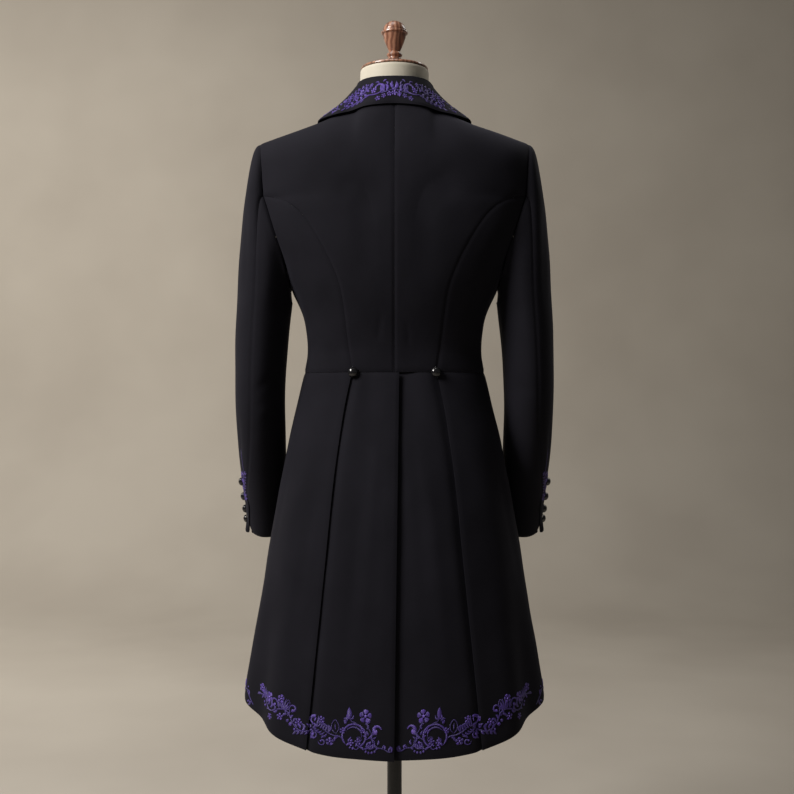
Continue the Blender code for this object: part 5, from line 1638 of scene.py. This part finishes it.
mahogany, tree, shader = new_material("varnished_mahogany", {
    "Roughness": 0.30, "Coat Weight": 0.6, "Coat Roughness": 0.12})
grain = use_group(tree, wood_grain, Rings=44.0)
figure = add_node(tree, "ShaderNodeMix", {"Factor": 0.35}, data_type="FLOAT")
shades = ramp(tree, ((0.20, (0.170, 0.068, 0.040)), (0.80, (0.40, 0.195, 0.120))))
wire(tree, (grain, "Figure", figure, "A"), (grain, "Pores", figure, "B"),
     (figure, "Result", shades, "Fac"), (shades, "Color", shader, "Base Color"))
relief(tree, shader, grain, "Pores", 0.15, 0.0002)

foot_black = marked_material(
    "satin_black_metal", 0.42, (260.0, 4.0), ((0.35, (0.012, 0.012, 0.013)), (0.70, (0.022, 0.021, 0.022))),
    gloss=(0.34, 0.52), bump=(0.12, 0.0001))

# %% Turn the finial, the cap, the neck, the pole and the foot
FINIAL_TOP = 1.669
CAP_TOP = 1.588
# radius and height over the cap, then radius and drop from the top
FINIAL_FOOT = ((0.0, 0.0), (0.0165, 0.0), (0.0165, 0.002), (0.0150, 0.004), (0.0120, 0.0055))
FINIAL_DROPS = (
    (0.0105, 0.0680), (0.0135, 0.0680), (0.0138, 0.0668), (0.0105, 0.0660), (0.0105, 0.0625),
    (0.0125, 0.0612), (0.0135, 0.0590), (0.0130, 0.0570), (0.0093, 0.0545), (0.0093, 0.0530),
    (0.0118, 0.0480), (0.0160, 0.0380), (0.0190, 0.0290), (0.0200, 0.0238), (0.0225, 0.0228),
    (0.0228, 0.0218), (0.0228, 0.0198), (0.0225, 0.0190), (0.0198, 0.0180), (0.0203, 0.0160),
    (0.0185, 0.0105), (0.0140, 0.0050), (0.0075, 0.0014), (0.0, 0.0))
FINIAL_OUTLINE = [(radius, CAP_TOP + rise) for radius, rise in FINIAL_FOOT]
FINIAL_OUTLINE += [(radius, FINIAL_TOP - drop) for radius, drop in FINIAL_DROPS]
CAP_OUTLINE = ((0.0, 1.5833), (0.0560, 1.5833), (0.0577, 1.5842), (0.0577, 1.5856), (0.0565, 1.5873),
               (0.0545, 1.5880), (0.0, 1.588))
NECK_OUTLINE = ((0.0, 1.5123), (0.0589, 1.5123), (0.0589, 1.5200), (0.0589, 1.5500), (0.0589, 1.5770),
                (0.0587, 1.5795), (0.0577, 1.5818), (0.0550, 1.5829), (0.0500, 1.5830), (0.0, 1.5830))
POLE_OUTLINE = ((0.0, 0.0243), (0.0125, 0.0243), (0.0125, 0.9297), (0.0, 0.9297))
FOOT_OUTLINE = ((0.0, 0.0), (0.1680, 0.0), (0.1700, 0.0015), (0.1700, 0.0070), (0.1688, 0.0086),
                (0.1580, 0.0130), (0.1560, 0.0133), (0.0380, 0.0178), (0.0350, 0.0184), (0.0325, 0.0232),
                (0.0300, 0.0240), (0.0, 0.0240))

TURNED = (("turned_finial", "finial", rounded(FINIAL_OUTLINE), mahogany, "wood"),
          ("turned_cap", "neck_cap", CAP_OUTLINE, mahogany, "wood"),
          ("jersey_neck", "form_neck", NECK_OUTLINE, jersey, "jersey"),
          ("black_pole", "stand_pole", POLE_OUTLINE, foot_black, "stand"),
          ("black_foot", "stand_base", FOOT_OUTLINE, foot_black, "stand"))
for name, node, outline, look, slot in TURNED:
    piece = spun(name, outline)
    if slot == "jersey":
        map_cloth(piece, node)
    dress(piece, look, slot, node)
    print(name, "triangles", triangles(piece))

# %% The cover of the torso
COVER_SHARP = 50

cover = new_piece("jersey_torso", solids["form_torso"].data.copy())
cover.data.materials.clear()
with editing(cover):
    bpy.ops.mesh.remove_doubles(threshold=MERGE)
    bpy.ops.mesh.tris_convert_to_quads()
soften(cover, COVER_SHARP)
map_cloth(cover, "form_torso")
dress(cover, jersey, "jersey", "form_torso")
print("jersey_torso triangles", triangles(cover))

# %% [markdown]
# Each piece of cloth is printed with the rectangle it was cut from, in metres without its seam
# turnings, and with the area of its own shape. The body is drawn smooth over the form, the skirts
# and sleeves hang, and the collar and lapels are folded.

# %% The cut of each piece of cloth
# panel, width and length of its rectangle, how it is held, what it lies on
CUT = {
    "back": (0.230, 0.505, "stretched", ("form_torso",)),
    "side_body": (0.150, 0.370, "stretched", ("form_torso",)),
    "forepart": (0.280, 0.515, "stretched", ("form_torso",)),
    "skirt_back": (0.200, 0.622, "hung", ()),
    "skirt_side": (0.470, 0.625, "hung", ()),
    "top_sleeve": (0.215, 0.675, "hung", ()),
    "under_sleeve": (0.200, 0.625, "hung", ()),
    "lapel": (0.082, 0.255, "folded", ()),
    "collar": (0.595, 0.112, "folded", ()),
}
for node, piece in cloth.items():
    panel = node.replace("_left", "").replace("_right", "")
    width, length, held, under = CUT[panel]
    area = round(float(sheets[node]["area"]), 4)
    print(node, "cut from", width, "x", length, "area", area)
